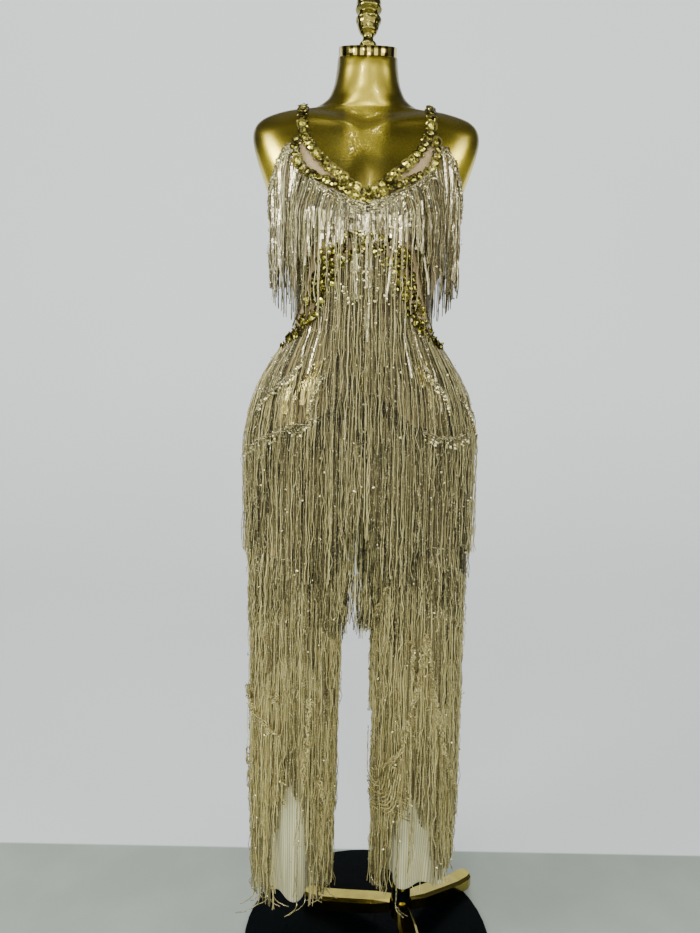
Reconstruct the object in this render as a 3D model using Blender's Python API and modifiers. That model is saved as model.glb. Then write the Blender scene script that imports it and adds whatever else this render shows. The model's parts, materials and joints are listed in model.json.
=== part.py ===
"""A fringed jumpsuit on its dress form, built piece by piece.

The garment is a sheer suit cut as a bodice and two flared legs. Jewelled bands edge its
neckline and waist, and rows of fringe hang from strips sewn round the bust, waist, hips and
legs. A smooth form without limbs fills the bodice. It stands on a pole that runs down inside
the wearer's left leg to a hub with three sloping arms, on a round disc.

Metres, +Z up. The origin is on the floor, under the middle of the form, and the garment's
front faces -Y. +X is the wearer's left.
"""

import math
from collections import namedtuple

import bmesh
import bpy
from mathutils import Vector
from mathutils.bvhtree import BVHTree

# Clearances and thicknesses
GAP = 0.0003  # between pieces that touch
CLOTH = 0.0016  # the sheer cloth's wall
EASE = 0.0020  # between the form and the cloth's inside

# Heights of the garment
WAIST_Z = 1.085  # seam between bodice and legs
CROTCH_TOP_Z = 0.800  # where the crotch curve leaves the front and back seams
CROTCH_Z = 0.765  # where the two legs part
HEM_Z = {"left": 0.130, "right": 0.105}
SIDE_SIGN = {"left": 1, "right": -1}  # the wearer's sides on the X axis

# The form
FORM_Y = 0.020  # its middle, front to back
FORM_BASE_Z = 0.803
BUST_X, BUST_Z, BUST_RISE = 0.068, 1.245, 0.030
BUST_SPREAD_X, BUST_SPREAD_Z = 0.040, 0.046
Section = namedtuple("Section", "z half_width front back power")
FORM_SECTIONS = (
    Section(0.760, 0.182, 0.091, 0.105, 2.3),
    Section(0.800, 0.183, 0.094, 0.113, 2.3),
    Section(0.860, 0.184, 0.097, 0.121, 2.3),
    Section(0.900, 0.184, 0.097, 0.123, 2.3),
    Section(0.940, 0.182, 0.096, 0.119, 2.3),
    Section(0.970, 0.178, 0.094, 0.113, 2.2),
    Section(1.000, 0.170, 0.091, 0.105, 2.2),
    Section(1.030, 0.157, 0.087, 0.095, 2.2),
    Section(1.060, 0.137, 0.082, 0.085, 2.2),
    Section(1.090, 0.116, 0.078, 0.077, 2.2),
    Section(1.115, 0.109, 0.076, 0.073, 2.2),
    Section(1.150, 0.113, 0.080, 0.075, 2.2),
    Section(1.190, 0.123, 0.085, 0.081, 2.3),
    Section(1.230, 0.136, 0.089, 0.087, 2.3),
    Section(1.270, 0.148, 0.090, 0.091, 2.4),
    Section(1.310, 0.161, 0.087, 0.093, 2.4),
    Section(1.345, 0.174, 0.080, 0.091, 2.4),
    Section(1.380, 0.186, 0.070, 0.086, 2.4),
    Section(1.410, 0.193, 0.060, 0.078, 2.4),
    Section(1.430, 0.189, 0.052, 0.069, 2.3),
    Section(1.443, 0.177, 0.046, 0.061, 2.2),
    Section(1.450, 0.156, 0.044, 0.057, 2.1),
    Section(1.455, 0.128, 0.044, 0.056, 2.0),
    Section(1.461, 0.098, 0.045, 0.055, 2.0),
    Section(1.472, 0.076, 0.046, 0.054, 2.0),
    Section(1.487, 0.0635, 0.047, 0.052, 2.0),
    Section(1.506, 0.0535, 0.046, 0.049, 2.0),
    Section(1.528, 0.0490, 0.0455, 0.047, 2.0),
    Section(1.5465, 0.0477, 0.0450, 0.046, 2.0),
)
FORM_COLUMNS = 32
FOOT_INSETS = {0.803: 0.020, 0.808: 0.009, 0.816: 0.002}  # its rounded lower edge
FORM_RINGS_Z = (
    0.803, 0.808, 0.816, 0.850, 0.910, 0.970, 1.010, 1.050, 1.085, 1.115, 1.150, 1.180, 1.205, 1.230,
    1.255, 1.280, 1.310, 1.345, 1.380, 1.410, 1.430, 1.443, 1.450, 1.455, 1.461, 1.472, 1.487,
    1.506, 1.528, 1.5465,
)

# The trouser legs, about each leg's own middle. fold is how far the hem's folds fall in.
LegSection = namedtuple("LegSection", "z outer inner front back fold")
LEG_Y, LEG_POWER = 0.020, 2.05
LEG_SECTIONS = (
    LegSection(0.090, 0.184, 0.036, 0.088, 0.090, 0.017),
    LegSection(0.160, 0.182, 0.038, 0.086, 0.089, 0.013),
    LegSection(0.230, 0.180, 0.040, 0.084, 0.088, 0.006),
    LegSection(0.320, 0.180, 0.041, 0.084, 0.087, 0.001),
    LegSection(0.450, 0.180, 0.041, 0.084, 0.088, 0.0),
    LegSection(0.600, 0.182, 0.040, 0.085, 0.090, 0.0),
    LegSection(0.700, 0.184, 0.032, 0.084, 0.093, 0.0),
    LegSection(CROTCH_Z, 0.186, GAP / 2, 0.083, 0.099, 0.0),
)
HEM_FOLDS = 6
FIRST_FOLD_DEG = {"left": 250.0, "right": 279.0}  # a fold's crest, anticlockwise from +X
LEG_COLUMNS = 16
LEG_ROWS_Z = (
    1.050, 1.010, 0.970, 0.910, 0.850, CROTCH_TOP_Z, 0.790, 0.777, CROTCH_Z,
    0.700, 0.500, 0.300, 0.225, 0.170,
)

# The neckline, as heights at distances from the middle
NeckPoint = namedtuple("NeckPoint", "x z")
NECK_INNER = (
    NeckPoint(0.000, 1.290), NeckPoint(0.016, 1.302), NeckPoint(0.033, 1.316),
    NeckPoint(0.056, 1.337), NeckPoint(0.075, 1.356), NeckPoint(0.092, 1.378),
    NeckPoint(0.100, 1.394),
)
NECK_OUTER = (
    NeckPoint(0.000, 1.276), NeckPoint(0.016, 1.284), NeckPoint(0.034, 1.294),
    NeckPoint(0.056, 1.306), NeckPoint(0.079, 1.317), NeckPoint(0.098, 1.332),
    NeckPoint(0.110, 1.352), NeckPoint(0.113, 1.366),
)
BAND_SEAT = 0.0010  # from the cloth to a band's inner face
BAND_WIDTH, BAND_LOW, BAND_HIGH = 0.010, 0.0026, 0.0050
BAND_REACH = 0.012  # how far along itself a band clears what it lies on
STONE_PITCH = 0.015

# The bodice's upper edge as heights over the share of a half turn, 0 in front and 2 behind
EdgePoint = namedtuple("EdgePoint", "turn z")
BODICE_FRONT_EDGE = (
    EdgePoint(0.00, 1.294), EdgePoint(0.12, 1.320), EdgePoint(0.21, 1.341),
    EdgePoint(0.27, 1.361), EdgePoint(0.32, 1.384), EdgePoint(0.37, 1.405),
    EdgePoint(0.44, 1.403), EdgePoint(0.55, 1.382), EdgePoint(0.66, 1.350),
    EdgePoint(0.83, 1.322), EdgePoint(1.00, 1.303),
)
BODICE_BACK_EDGE = (
    EdgePoint(1.00, 1.303), EdgePoint(1.15, 1.294), EdgePoint(1.35, 1.281),
    EdgePoint(1.50, 1.273), EdgePoint(1.70, 1.252), EdgePoint(2.00, 1.235),
)
BODICE_COLUMNS, BODICE_ROWS = 16, 9

# Shoulder straps, from the top of the neckline over the shoulder to the back
STRAP_X = 0.104
STRAP_TURN_Z, STRAP_BACK_Z = 1.432, 1.263

# The jewelled waist bands, as sections from under the bust to the side
WaistPoint = namedtuple("WaistPoint", "turn z half_height")
WAIST_BAND = (
    WaistPoint(0.26, 1.236, 0.012), WaistPoint(0.36, 1.218, 0.019),
    WaistPoint(0.48, 1.192, 0.021), WaistPoint(0.60, 1.163, 0.021),
    WaistPoint(0.72, 1.137, 0.019), WaistPoint(0.84, 1.117, 0.014),
    WaistPoint(0.97, 1.106, 0.009),
)
WAIST_BAND_STONES, WAIST_BAND_ROWS = 7, 2
WAIST_BAND_EDGE_SEAT, WAIST_BAND_SEAT = 0.0008, 0.0021  # at its outer end, and elsewhere
WAIST_BAND_LOW, WAIST_BAND_HIGH = 0.0038, 0.0060

# Fringe
STRIP_HEIGHT, STRIP_THICK, STRIP_SEAT = 0.006, 0.002, 0.0009
LOCK_THICK, LOCK_SEAT = 0.0022, 0.0024
LOCK_FILL = 0.66  # a lock's width over its pitch
LOCK_SPLAY, SPLAY_RUN = 0.009, 0.035  # how far a lock stands off what it covers, and over what run
Edge = namedtuple("Edge", "angle root tip covered_to")
Row = namedtuple("Row", "turn root tip")
BUST_ROW = (
    Row(0.00, 1.264, 1.160), Row(0.12, 1.272, 1.150), Row(0.26, 1.286, 1.135),
    Row(0.38, 1.300, 1.122), Row(0.48, 1.322, 1.112), Row(0.54, 1.338, 1.118),
    Row(0.62, 1.345, 1.135), Row(0.74, 1.322, 1.150), Row(0.87, 1.302, 1.160),
    Row(0.995, 1.290, 1.166),
)
BACK_ROW = (
    Row(1.005, 1.290, 1.166), Row(1.20, 1.272, 1.140), Row(1.45, 1.252, 1.105),
    Row(1.70, 1.222, 1.085), Row(2.00, 1.203, 1.078),
)
WAIST_ROW = (
    Row(0.00, 1.222, 0.925), Row(0.16, 1.208, 0.915), Row(0.30, 1.168, 0.905),
    Row(0.45, 1.125, 0.895), Row(0.62, 1.096, 0.888), Row(1.00, 1.074, 0.880),
    Row(1.50, 1.064, 0.880), Row(2.00, 1.058, 0.880),
)
HIP_ROW = (
    Row(0.00, 0.985, 0.600), Row(0.10, 0.982, 0.700), Row(0.25, 0.972, 0.740),
    Row(0.45, 0.962, 0.752), Row(0.70, 0.962, 0.715), Row(1.00, 0.962, 0.680),
    Row(1.40, 0.958, 0.700), Row(2.00, 0.955, 0.690),
)
HALF_BUST_LOCKS, HALF_BACK_LOCKS, WAIST_LOCKS, HIP_LOCKS = 14, 8, 32, 32
# Where each row begins to stand off what it covers
BUST_SPLAY_Z, WAIST_SPLAY_Z, HIP_SPLAY_Z = 1.290, 1.040, 0.875
LegTier = namedtuple("LegTier", "name root tip covered_to locks")
LEG_TIERS = (
    LegTier("thigh", 0.722, 0.585, 0.672, 12),
    LegTier("knee", 0.655, 0.445, 0.575, 12),
    LegTier("calf", 0.500, 0.285, 0.435, 12),
    LegTier("hem", 0.345, 0.062, 0.275, 12),
)
TIER_TIP_RAGGED = 0.008  # how far neighbouring locks differ in length

# The stand
POLE_X, POLE_Y, POLE_RADIUS = 0.092, 0.012, 0.0155
DISC_X, DISC_RADIUS, DISC_THICK = 0.030, 0.2225, 0.004
HUB_RADIUS, HUB_BASE_Z, HUB_TOP_Z = 0.0175, 0.030, 0.066
BAND_TOP_Z, COLLAR_TOP_Z = 0.087, 0.100
ARM_ANGLES_DEG = {"right": 40.0, "left": 160.0, "front": 280.0}
ArmSection = namedtuple("ArmSection", "reach half_width top bottom")
ARM_SECTIONS = (
    ArmSection(0.0178, 0.0105, 0.0600, 0.0360),
    ArmSection(0.050, 0.0165, 0.0520, 0.0280),
    ArmSection(0.110, 0.0165, 0.0380, 0.0125),
    ArmSection(0.150, 0.0165, 0.0295, DISC_THICK + GAP),
    ArmSection(0.176, 0.0165, 0.0275, DISC_THICK + GAP),
    ArmSection(0.187, 0.0125, 0.0268, DISC_THICK + GAP),
    ArmSection(0.1915, 0.0060, 0.0262, DISC_THICK + GAP),
)

# Neck cap and finial, as a radius at each height
NECK_CAP_Z, NECK_CAP_THICK, NECK_CAP_RADIUS = 1.5468, 0.0155, 0.0487
Turned = namedtuple("Turned", "z radius")
FINIAL_PROFILE = (
    Turned(1.6550, 0.0080), Turned(1.6500, 0.0150), Turned(1.6380, 0.0195),
    Turned(1.6240, 0.0208), Turned(1.6180, 0.0172), Turned(1.6120, 0.0178),
    Turned(1.6030, 0.0208), Turned(1.5940, 0.0178), Turned(1.5825, 0.0105),
    Turned(1.5720, 0.0095), Turned(1.5680, 0.0135), Turned(1.5626, 0.0140),
)
FINIAL_STEPS = 14

# Finishes: colour, metallic, roughness
Finish = namedtuple("Finish", "colour metallic roughness")
FINISHES = {
    "sheer_cloth": Finish((0.66, 0.58, 0.44), 0.0, 0.75),
    "fringe": Finish((0.62, 0.53, 0.33), 0.35, 0.40),
    "stones": Finish((0.55, 0.46, 0.14), 0.85, 0.20),
    "form_gold": Finish((0.52, 0.42, 0.15), 0.75, 0.28),
    "stand_gold": Finish((0.66, 0.53, 0.24), 0.95, 0.15),
    "black_gloss": Finish((0.01, 0.012, 0.016), 0.0, 0.12),
}


# ---------------------------------------------------------------- numbers and shapes


def smooth(rows, key, at):
    """The row at that key, each column following a smooth curve through the table."""
    places = [getattr(row, key) for row in rows]
    if places[0] > places[-1]:
        rows, places = rows[::-1], places[::-1]
    at = min(max(at, places[0]), places[-1])
    i = max(0, min(len(rows) - 2, sum(place <= at for place in places) - 1))
    step = places[i + 1] - places[i]
    t = (at - places[i]) / step

    def slope(k, column):
        before, after = max(k - 1, 0), min(k + 1, len(rows) - 1)
        return (rows[after][column] - rows[before][column]) / (places[after] - places[before])

    values = []
    for column in range(len(rows[0])):
        start, end = rows[i][column], rows[i + 1][column]
        values.append(
            start * (2 * t**3 - 3 * t**2 + 1)
            + end * (3 * t**2 - 2 * t**3)
            + step * slope(i, column) * (t**3 - 2 * t**2 + t)
            + step * slope(i + 1, column) * (t**3 - t**2)
        )
    return type(rows[0])(*values)


def between(low, high, count):
    """count + 1 even steps from low to high."""
    return [low + (high - low) * i / count for i in range(count + 1)]


def eased(low, high, at):
    """0 before low, 1 after high, and a smooth rise between them."""
    t = min(max((at - low) / (high - low), 0.0), 1.0)
    return t * t * (3 - 2 * t)


def oval(sine, cosine, half_width, depth, power):
    """A superellipse's radius in the direction with that sine and cosine."""
    return ((abs(sine) / half_width) ** power + (abs(cosine) / depth) ** power) ** (-1 / power)


def body_radius(angle, z):
    """The form's radius at a height. angle is 0 in front and grows towards +X."""
    section = smooth(FORM_SECTIONS, "z", z)
    sine, cosine = math.sin(angle), math.cos(angle)
    depth = section.front if cosine > 0 else section.back
    radius = oval(sine, cosine, section.half_width, depth, section.power)
    across = (abs(radius * sine) - BUST_X) / BUST_SPREAD_X
    up = (z - BUST_Z) / BUST_SPREAD_Z
    return radius + BUST_RISE * math.exp(-(across**2) - up**2) * max(cosine, 0.0)


def turn_angle(turn, z):
    """The angle of a place on the body, where turn is 0 in front, 1 at the side, 2 behind."""
    section = smooth(FORM_SECTIONS, "z", z)
    share = turn * math.pi / 2
    depth = section.front if math.cos(share) > 0 else section.back
    return math.atan2(section.half_width * math.sin(share), depth * math.cos(share)) % math.tau


def body_point(angle, z, out):
    """A point that far outside the form."""
    radius = body_radius(angle, z) + out
    return Vector((radius * math.sin(angle), FORM_Y - radius * math.cos(angle), z))


def leg_middle(z):
    """The middle of a leg across the body."""
    section = smooth(LEG_SECTIONS, "z", z)
    return (section.outer + section.inner) / 2


def leg_radius(side, angle, z):
    """A leg's radius about its middle. angle runs anticlockwise from +X."""
    section = smooth(LEG_SECTIONS, "z", z)
    half_width = (section.outer - section.inner) / 2
    depth = section.front if math.sin(angle) < 0 else section.back
    radius = oval(math.cos(angle), math.sin(angle), half_width, depth, LEG_POWER)
    crest = math.cos(HEM_FOLDS * (angle - math.radians(FIRST_FOLD_DEG[side])))
    return radius - section.fold * (1 - crest)


def leg_point(side, angle, z, out):
    """A point that far outside a leg's cloth."""
    radius = leg_radius(side, angle, z) + out
    middle = SIDE_SIGN[side] * leg_middle(z)
    return Vector((middle + radius * math.cos(angle), LEG_Y + radius * math.sin(angle), z))


def trouser_point(side, turn, z, out):
    """A point on a trouser leg's outside, moved out. turn is 0 at the front seam, 1 at the
    side seam and 2 at the back seam. Below the crotch, 0 and 2 meet at the inseam."""
    sign = SIDE_SIGN[side]
    torso = body_point(turn_angle(turn, z), z, EASE + CLOTH + out)
    torso.x = sign * max(torso.x, GAP / 2)
    if z >= CROTCH_TOP_Z:
        return torso
    local = math.pi * (1 + turn)  # from the inseam, by the front, to the side seam
    angle = local if sign > 0 else math.pi - local
    leg = leg_point(side, angle, z, out)
    if z <= CROTCH_Z:
        return leg
    torso = body_point(turn_angle(turn, CROTCH_TOP_Z), CROTCH_TOP_Z, EASE + CLOTH + out)
    torso.x *= sign
    fallen = (CROTCH_TOP_Z - z) / (CROTCH_TOP_Z - CROTCH_Z)
    share = 1 - math.sqrt(max(1 - fallen**2, 0.0))
    point = torso.lerp(leg, share)
    point.z = z
    if sign * point.x < GAP / 2:
        point.x = sign * GAP / 2
    return point


def out_of(surface, a, b):
    """The outward direction of surface(a, b, out) at a point."""
    return (surface(a, b, 0.001) - surface(a, b, 0.0)).normalized()


# ---------------------------------------------------------------- making objects


def material(name):
    """The finish of that name, made once."""
    found = bpy.data.materials.get(name)
    if found:
        return found
    finish = FINISHES[name]
    made = bpy.data.materials.new(name)
    made.use_nodes = True
    shader = made.node_tree.nodes["Principled BSDF"]
    shader.inputs["Base Color"].default_value = (*finish.colour, 1.0)
    shader.inputs["Metallic"].default_value = finish.metallic
    shader.inputs["Roughness"].default_value = finish.roughness
    return made


def add_object(name, mesh, finish):
    """Links a mesh to the part's collection under that name and finish."""
    obj = bpy.data.objects.new(name, mesh)
    bpy.data.collections["fringed_jumpsuit"].objects.link(obj)
    mesh.materials.append(material(finish))
    mesh.name = name
    return obj


def solid_from(points, faces, name, finish, sharp_deg=40):
    """A closed solid from points and faces, its normals made to face out."""
    mesh = bpy.data.meshes.new(name)
    mesh.from_pydata(points, [], faces)
    shape = bmesh.new()
    shape.from_mesh(mesh)
    bmesh.ops.recalc_face_normals(shape, faces=shape.faces)
    shape.to_mesh(mesh)
    shape.free()
    mesh.shade_smooth()
    mesh.set_sharp_from_angle(angle=math.radians(sharp_deg))
    return add_object(name, mesh, finish)


def loft(name, rings, finish):
    """A solid through rings of equally many points, closed by a face at each end."""
    count = len(rings[0])
    points = [point for ring in rings for point in ring]
    faces = [list(range(count)), list(range(len(points) - count, len(points)))]
    for i in range(len(rings) - 1):
        for j in range(count):
            k = (j + 1) % count
            faces.append((i * count + j, i * count + k, (i + 1) * count + k, (i + 1) * count + j))
    return solid_from(points, faces, name, finish)


def thickened(grid, pinned):
    """The grid moved in by the cloth's thickness, square to its surface.

    pinned(i, j) names the axes that a point may not move along, so that seams stay true."""
    rows, columns = len(grid), len(grid[0])
    middle = sum((p for row in grid for p in row), Vector()) / (rows * columns)
    moved, turned_out = [], 0.0
    for i in range(rows):
        row = []
        for j in range(columns):
            down = grid[min(i + 1, rows - 1)][j] - grid[max(i - 1, 0)][j]
            along = grid[i][min(j + 1, columns - 1)] - grid[i][max(j - 1, 0)]
            normal = down.cross(along).normalized()
            turned_out += normal.dot(grid[i][j] - middle)
            for axis in pinned(i, j):
                normal["xyz".index(axis)] = 0.0
            row.append(normal.normalized() * CLOTH)
        moved.append(row)
    sign = -1 if turned_out > 0 else 1
    return [[p + sign * n for p, n in zip(*pair)] for pair in zip(grid, moved)]


def wall(name, outer, inner, finish):
    """A solid between two grids of points, its four edges closed."""
    rows, columns = len(outer), len(outer[0])
    points = [p for row in outer for p in row] + [p for row in inner for p in row]
    back = rows * columns
    faces = []

    def at(i, j):
        return i * columns + j

    for i in range(rows - 1):
        for j in range(columns - 1):
            for triangle in ((at(i, j), at(i, j + 1), at(i + 1, j + 1)),
                             (at(i, j), at(i + 1, j + 1), at(i + 1, j))):
                faces += [triangle, tuple(back + k for k in reversed(triangle))]
    border = [at(0, j) for j in range(columns)] + [at(i, columns - 1) for i in range(1, rows)]
    border += [at(rows - 1, j) for j in range(columns - 2, -1, -1)]
    border += [at(i, 0) for i in range(rows - 2, 0, -1)]
    for a, b in zip(border, border[1:] + border[:1]):
        faces.append((a, back + a, back + b, b))
    return solid_from(points, faces, name, finish)


def cylinder(name, radius, low, high, x, y, steps, finish):
    """An upright round bar between two heights."""
    shape = bmesh.new()
    bmesh.ops.create_cone(
        shape, cap_ends=True, segments=steps, radius1=radius, radius2=radius, depth=high - low
    )
    mesh = bpy.data.meshes.new(name)
    shape.to_mesh(mesh)
    shape.free()
    mesh.shade_smooth()
    mesh.set_sharp_from_angle(angle=math.radians(40))
    obj = add_object(name, mesh, finish)
    obj.location = (x, y, (low + high) / 2)
    return obj


def turned(name, profile, steps, finish):
    """A solid turned about the form's axis from a profile that runs down its outer side."""
    points = [(0.0, 0.0, profile[0].z)]
    points += [(row.radius, 0.0, row.z) for row in profile]
    points.append((0.0, 0.0, profile[-1].z))
    mesh = bpy.data.meshes.new(name)
    mesh.from_pydata(points, [(i, i + 1) for i in range(len(points) - 1)], [])
    obj = add_object(name, mesh, finish)
    obj.location.y = FORM_Y
    screw = obj.modifiers.new("turn", "SCREW")
    screw.steps = screw.render_steps = steps
    screw.use_merge_vertices = True
    screw.merge_threshold = 0.0001
    return obj


# ---------------------------------------------------------------- the stand and the form


def build_stand():
    """The disc, the hub with its three sloping arms, the banded collar and the pole."""
    cylinder("base_disc", DISC_RADIUS, 0.0, DISC_THICK, DISC_X, 0.0, 48, "black_gloss")
    cylinder("base_hub", HUB_RADIUS, HUB_BASE_Z, HUB_TOP_Z, POLE_X, POLE_Y, 24, "stand_gold")
    cylinder(
        "hub_band", HUB_RADIUS, HUB_TOP_Z + GAP, BAND_TOP_Z, POLE_X, POLE_Y, 24, "black_gloss"
    )
    cylinder(
        "pole_collar", HUB_RADIUS, BAND_TOP_Z + GAP, COLLAR_TOP_Z, POLE_X, POLE_Y, 24,
        "stand_gold",
    )
    cylinder(
        "pole", POLE_RADIUS, COLLAR_TOP_Z + GAP, FORM_BASE_Z - GAP, POLE_X, POLE_Y, 20,
        "stand_gold",
    )
    for where, degrees in ARM_ANGLES_DEG.items():
        along = Vector((math.cos(math.radians(degrees)), math.sin(math.radians(degrees)), 0))
        across = Vector((-along.y, along.x, 0))
        rings = []
        for section in ARM_SECTIONS:
            middle = Vector((POLE_X, POLE_Y, 0)) + along * (section.reach + GAP)
            low, high = Vector((0, 0, section.bottom)), Vector((0, 0, section.top))
            side = across * section.half_width
            chamfer = Vector((0, 0, 0.005))
            rings.append([
                middle - side + low, middle + side + low, middle + side + high - chamfer,
                middle + side * 0.7 + high, middle - side * 0.7 + high,
                middle - side + high - chamfer,
            ])
        loft(f"base_arm_{where}", rings, "stand_gold")


def build_form():
    """The smooth body from hips to neck, its neck cap and the finial on it."""
    rings = []
    for z in FORM_RINGS_Z:
        turns = [4 * k / FORM_COLUMNS for k in range(FORM_COLUMNS)]
        inset = FOOT_INSETS.get(z, 0.0)
        rings.append([body_point(turn_angle(t, z), z, -inset) for t in turns])
    loft("form_body", rings, "form_gold")
    cylinder(
        "neck_cap", NECK_CAP_RADIUS, NECK_CAP_Z, NECK_CAP_Z + NECK_CAP_THICK, 0, FORM_Y, 32,
        "stand_gold",
    )
    turned("finial", FINIAL_PROFILE, FINIAL_STEPS, "stand_gold")


# ---------------------------------------------------------------- the cloth


def edge_height(turn):
    """The height of the bodice's upper edge at that turn."""
    edge = BODICE_FRONT_EDGE if abs(turn) <= 1 else BODICE_BACK_EDGE
    return smooth(edge, "turn", abs(turn)).z


def bodice_point(turn, share):
    """A point on the bodice's outside. share is 0 at the waist and 1 at the upper edge."""
    low = WAIST_Z + GAP
    z = low + (edge_height(turn) - low) * share
    return body_point(turn_angle(turn, z), z, EASE + CLOTH)


def pushed_out(grid):
    """The grid with its points moved out until its flat faces clear the form's curve."""
    push = [[0.0] * len(row) for row in grid]
    for i in range(len(grid) - 1):
        for j in range(len(grid[0]) - 1):
            quad = [(i, j), (i, j + 1), (i + 1, j), (i + 1, j + 1)]
            pairs = [(0, 1), (0, 2), (0, 3), (1, 2), (1, 3), (2, 3)]
            for a, b in pairs:
                first, second = quad[a], quad[b]
                middle = (grid[first[0]][first[1]] + grid[second[0]][second[1]]) / 2
                angle = math.atan2(middle.x, FORM_Y - middle.y)
                reach = math.hypot(middle.x, middle.y - FORM_Y)
                short = body_radius(angle, middle.z) + EASE + CLOTH - reach
                for row, column in (first, second):
                    push[row][column] = max(push[row][column], short)
    moved = []
    for row, pushes in zip(grid, push):
        moved.append([])
        for point, short in zip(row, pushes):
            away = Vector((point.x, point.y - FORM_Y, 0)).normalized()
            moved[-1].append(point + away * short)
    return moved


def build_bodice():
    """The bodice's front and back, which meet at the side seams."""
    seam = 0.0014  # half the seam's gap, as a share of a quarter turn

    def pinned(i, j):
        return ("z" if i == 0 else "") + ("y" if j in (0, BODICE_COLUMNS) else "")

    for name, start in (("bodice_front", -1), ("bodice_back", 1)):
        turns = between(start, start + 2, BODICE_COLUMNS)
        turns[0], turns[-1] = turns[0] + seam, turns[-1] - seam
        outer = [[bodice_point(t if t < 2 else t - 4, share) for t in turns]
                 for share in between(0, 1, BODICE_ROWS)]
        outer[1:] = pushed_out(outer)[1:]
        wall(name, outer, thickened(outer, pinned), "sheer_cloth")


def build_legs():
    """The front and back of each trouser leg, with its crotch curve and folded hem."""
    for side, hem in HEM_Z.items():
        heights = (WAIST_Z, *LEG_ROWS_Z, hem)
        for face, start, end in (("front", 0.0, 1.0), ("back", 1.0, 2.0)):
            turns = between(start, end, LEG_COLUMNS)
            outer = [[trouser_point(side, t, z, 0.0) for t in turns] for z in heights]
            open_seams(outer, face, heights)
            middle_seam = 0 if face == "front" else LEG_COLUMNS

            def pinned(i, j):
                axes = "z" if i in (0, len(heights) - 1) else ""
                if j == middle_seam:
                    axes += "x" if heights[i] >= CROTCH_Z else ""
                    axes += "y" if heights[i] <= CROTCH_Z else ""
                elif j in (0, LEG_COLUMNS):
                    axes += "y"
                return axes

            wall(f"leg_{side}_{face}", outer, thickened(outer, pinned), "sheer_cloth")


def open_seams(grid, face, heights):
    """Draws a leg panel's edge back by half a gap, at the side seam and at the inseam."""
    shift = -GAP / 2 if face == "front" else GAP / 2
    outside, inside = (-1, 0) if face == "front" else (0, -1)
    for row, z in zip(grid, heights):
        row[outside].y += shift
        if z <= CROTCH_Z:
            row[inside].y += shift


# ---------------------------------------------------------------- jewelled bands


class Surface:
    """What the pieces of some names show to the outside, found by rays."""

    def __init__(self, names):
        """Gathers the faces of the named pieces."""
        points, faces = [], []
        for name in names:
            obj = bpy.data.objects[name]
            start = len(points)
            obj.data.calc_loop_triangles()
            points += [obj.matrix_world @ v.co for v in obj.data.vertices]
            faces += [[start + k for k in f.vertices] for f in obj.data.loop_triangles]
        self.tree = BVHTree.FromPolygons(points, faces)

    def radius(self, angle, z, middle=(0.0, FORM_Y)):
        """How far out the surface is in a direction that is 0 in front and grows to +X."""
        best = 0.02
        for aside, above in ((-0.004, 0.0), (0.004, 0.0), (-0.004, -0.0008), (0.004, 0.0008)):
            away = Vector((math.sin(angle + aside), -math.cos(angle + aside), 0))
            start = Vector((*middle, z + above)) + away * 0.5
            hit = self.tree.ray_cast(start, -away, 0.5)[0]
            if hit:
                best = max(best, 0.5 - (start - hit).length)
        return best

    def point(self, angle, z, out):
        """A point that far outside the surface, straight out from the form's middle."""
        radius = self.radius(angle, z) + out
        return Vector((radius * math.sin(angle), FORM_Y - radius * math.cos(angle), z))

    def normal(self, point):
        """The direction that the surface nearest to a point faces."""
        return self.tree.find_nearest(point)[1]

    def height(self, x, y):
        """The height of the surface at a place, from above."""
        return self.tree.ray_cast(Vector((x, y, 1.5)), Vector((0, 0, -1)))[0].z

    def seat(self, spot, out, beside):
        """The spot moved along its outward direction until it, and the places beside it,
        clear the surface."""
        lifts = []
        for shift in beside:
            start = spot + shift + out * 0.03
            hit = self.tree.ray_cast(start, -out, 0.06)[0]
            if hit:
                lifts.append(0.03 - (start - hit).length)
        return spot + out * max(lifts)


def place_at(x, z, low=0.0, high=math.pi / 2):
    """The form's surface at that height and distance from the middle, between two directions."""
    rising = body_point(high, z, 0).x > body_point(low, z, 0).x
    for _ in range(40):
        angle = (low + high) / 2
        if (body_point(angle, z, 0).x < abs(x)) == rising:
            low = angle
        else:
            high = angle
    point = body_point(low, z, 0)
    point.x = math.copysign(point.x, x)
    return point


def band(name, path, outward, surface, finish):
    """A jewelled band along a path, each of its corners lifted off the surface beneath it.

    Its outer face rises and falls, so that one stone stands up for every second section."""
    rings = []
    for i, (point, out) in enumerate(zip(path, outward)):
        ahead = (path[min(i + 1, len(path) - 1)] - path[max(i - 1, 0)]).normalized()
        across = ahead.cross(out).normalized() * BAND_WIDTH / 2
        top = BAND_HIGH if i % 2 else BAND_LOW
        ring = []
        for share, lift in ((1, BAND_SEAT), (-1, BAND_SEAT), (-0.6, top), (0.6, top)):
            beside = [ahead * step - across * share * inward
                      for step in between(-BAND_REACH, BAND_REACH, 6) for inward in (0, 0.5, 1)]
            ring.append(surface.seat(point + across * share, out, beside) + out * lift)
        rings.append(ring)
    return loft(name, rings, finish)


def neckline_path(line, start):
    """Closely spaced points along a neckline row, on the wearer's left."""
    return [place_at(x, smooth(line, "x", x).z) for x in between(start, line[-1].x, 40)]


def evenly(path):
    """The path's points at an even pitch, two for each stone."""
    lengths = [0.0]
    for a, b in zip(path, path[1:]):
        lengths.append(lengths[-1] + (b - a).length)
    spaced = []
    for along in between(0.0, lengths[-1], 2 * round(lengths[-1] / STONE_PITCH)):
        i = min(sum(length <= along for length in lengths), len(path) - 1)
        step = lengths[i] - lengths[i - 1]
        spaced.append(path[i - 1].lerp(path[i], min((along - lengths[i - 1]) / step, 1.0)))
    return spaced


def mirrored(points, sign):
    """The points on the wearer's left, or their mirror image."""
    return [Vector((sign * p.x, p.y, p.z)) for p in points]


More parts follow.
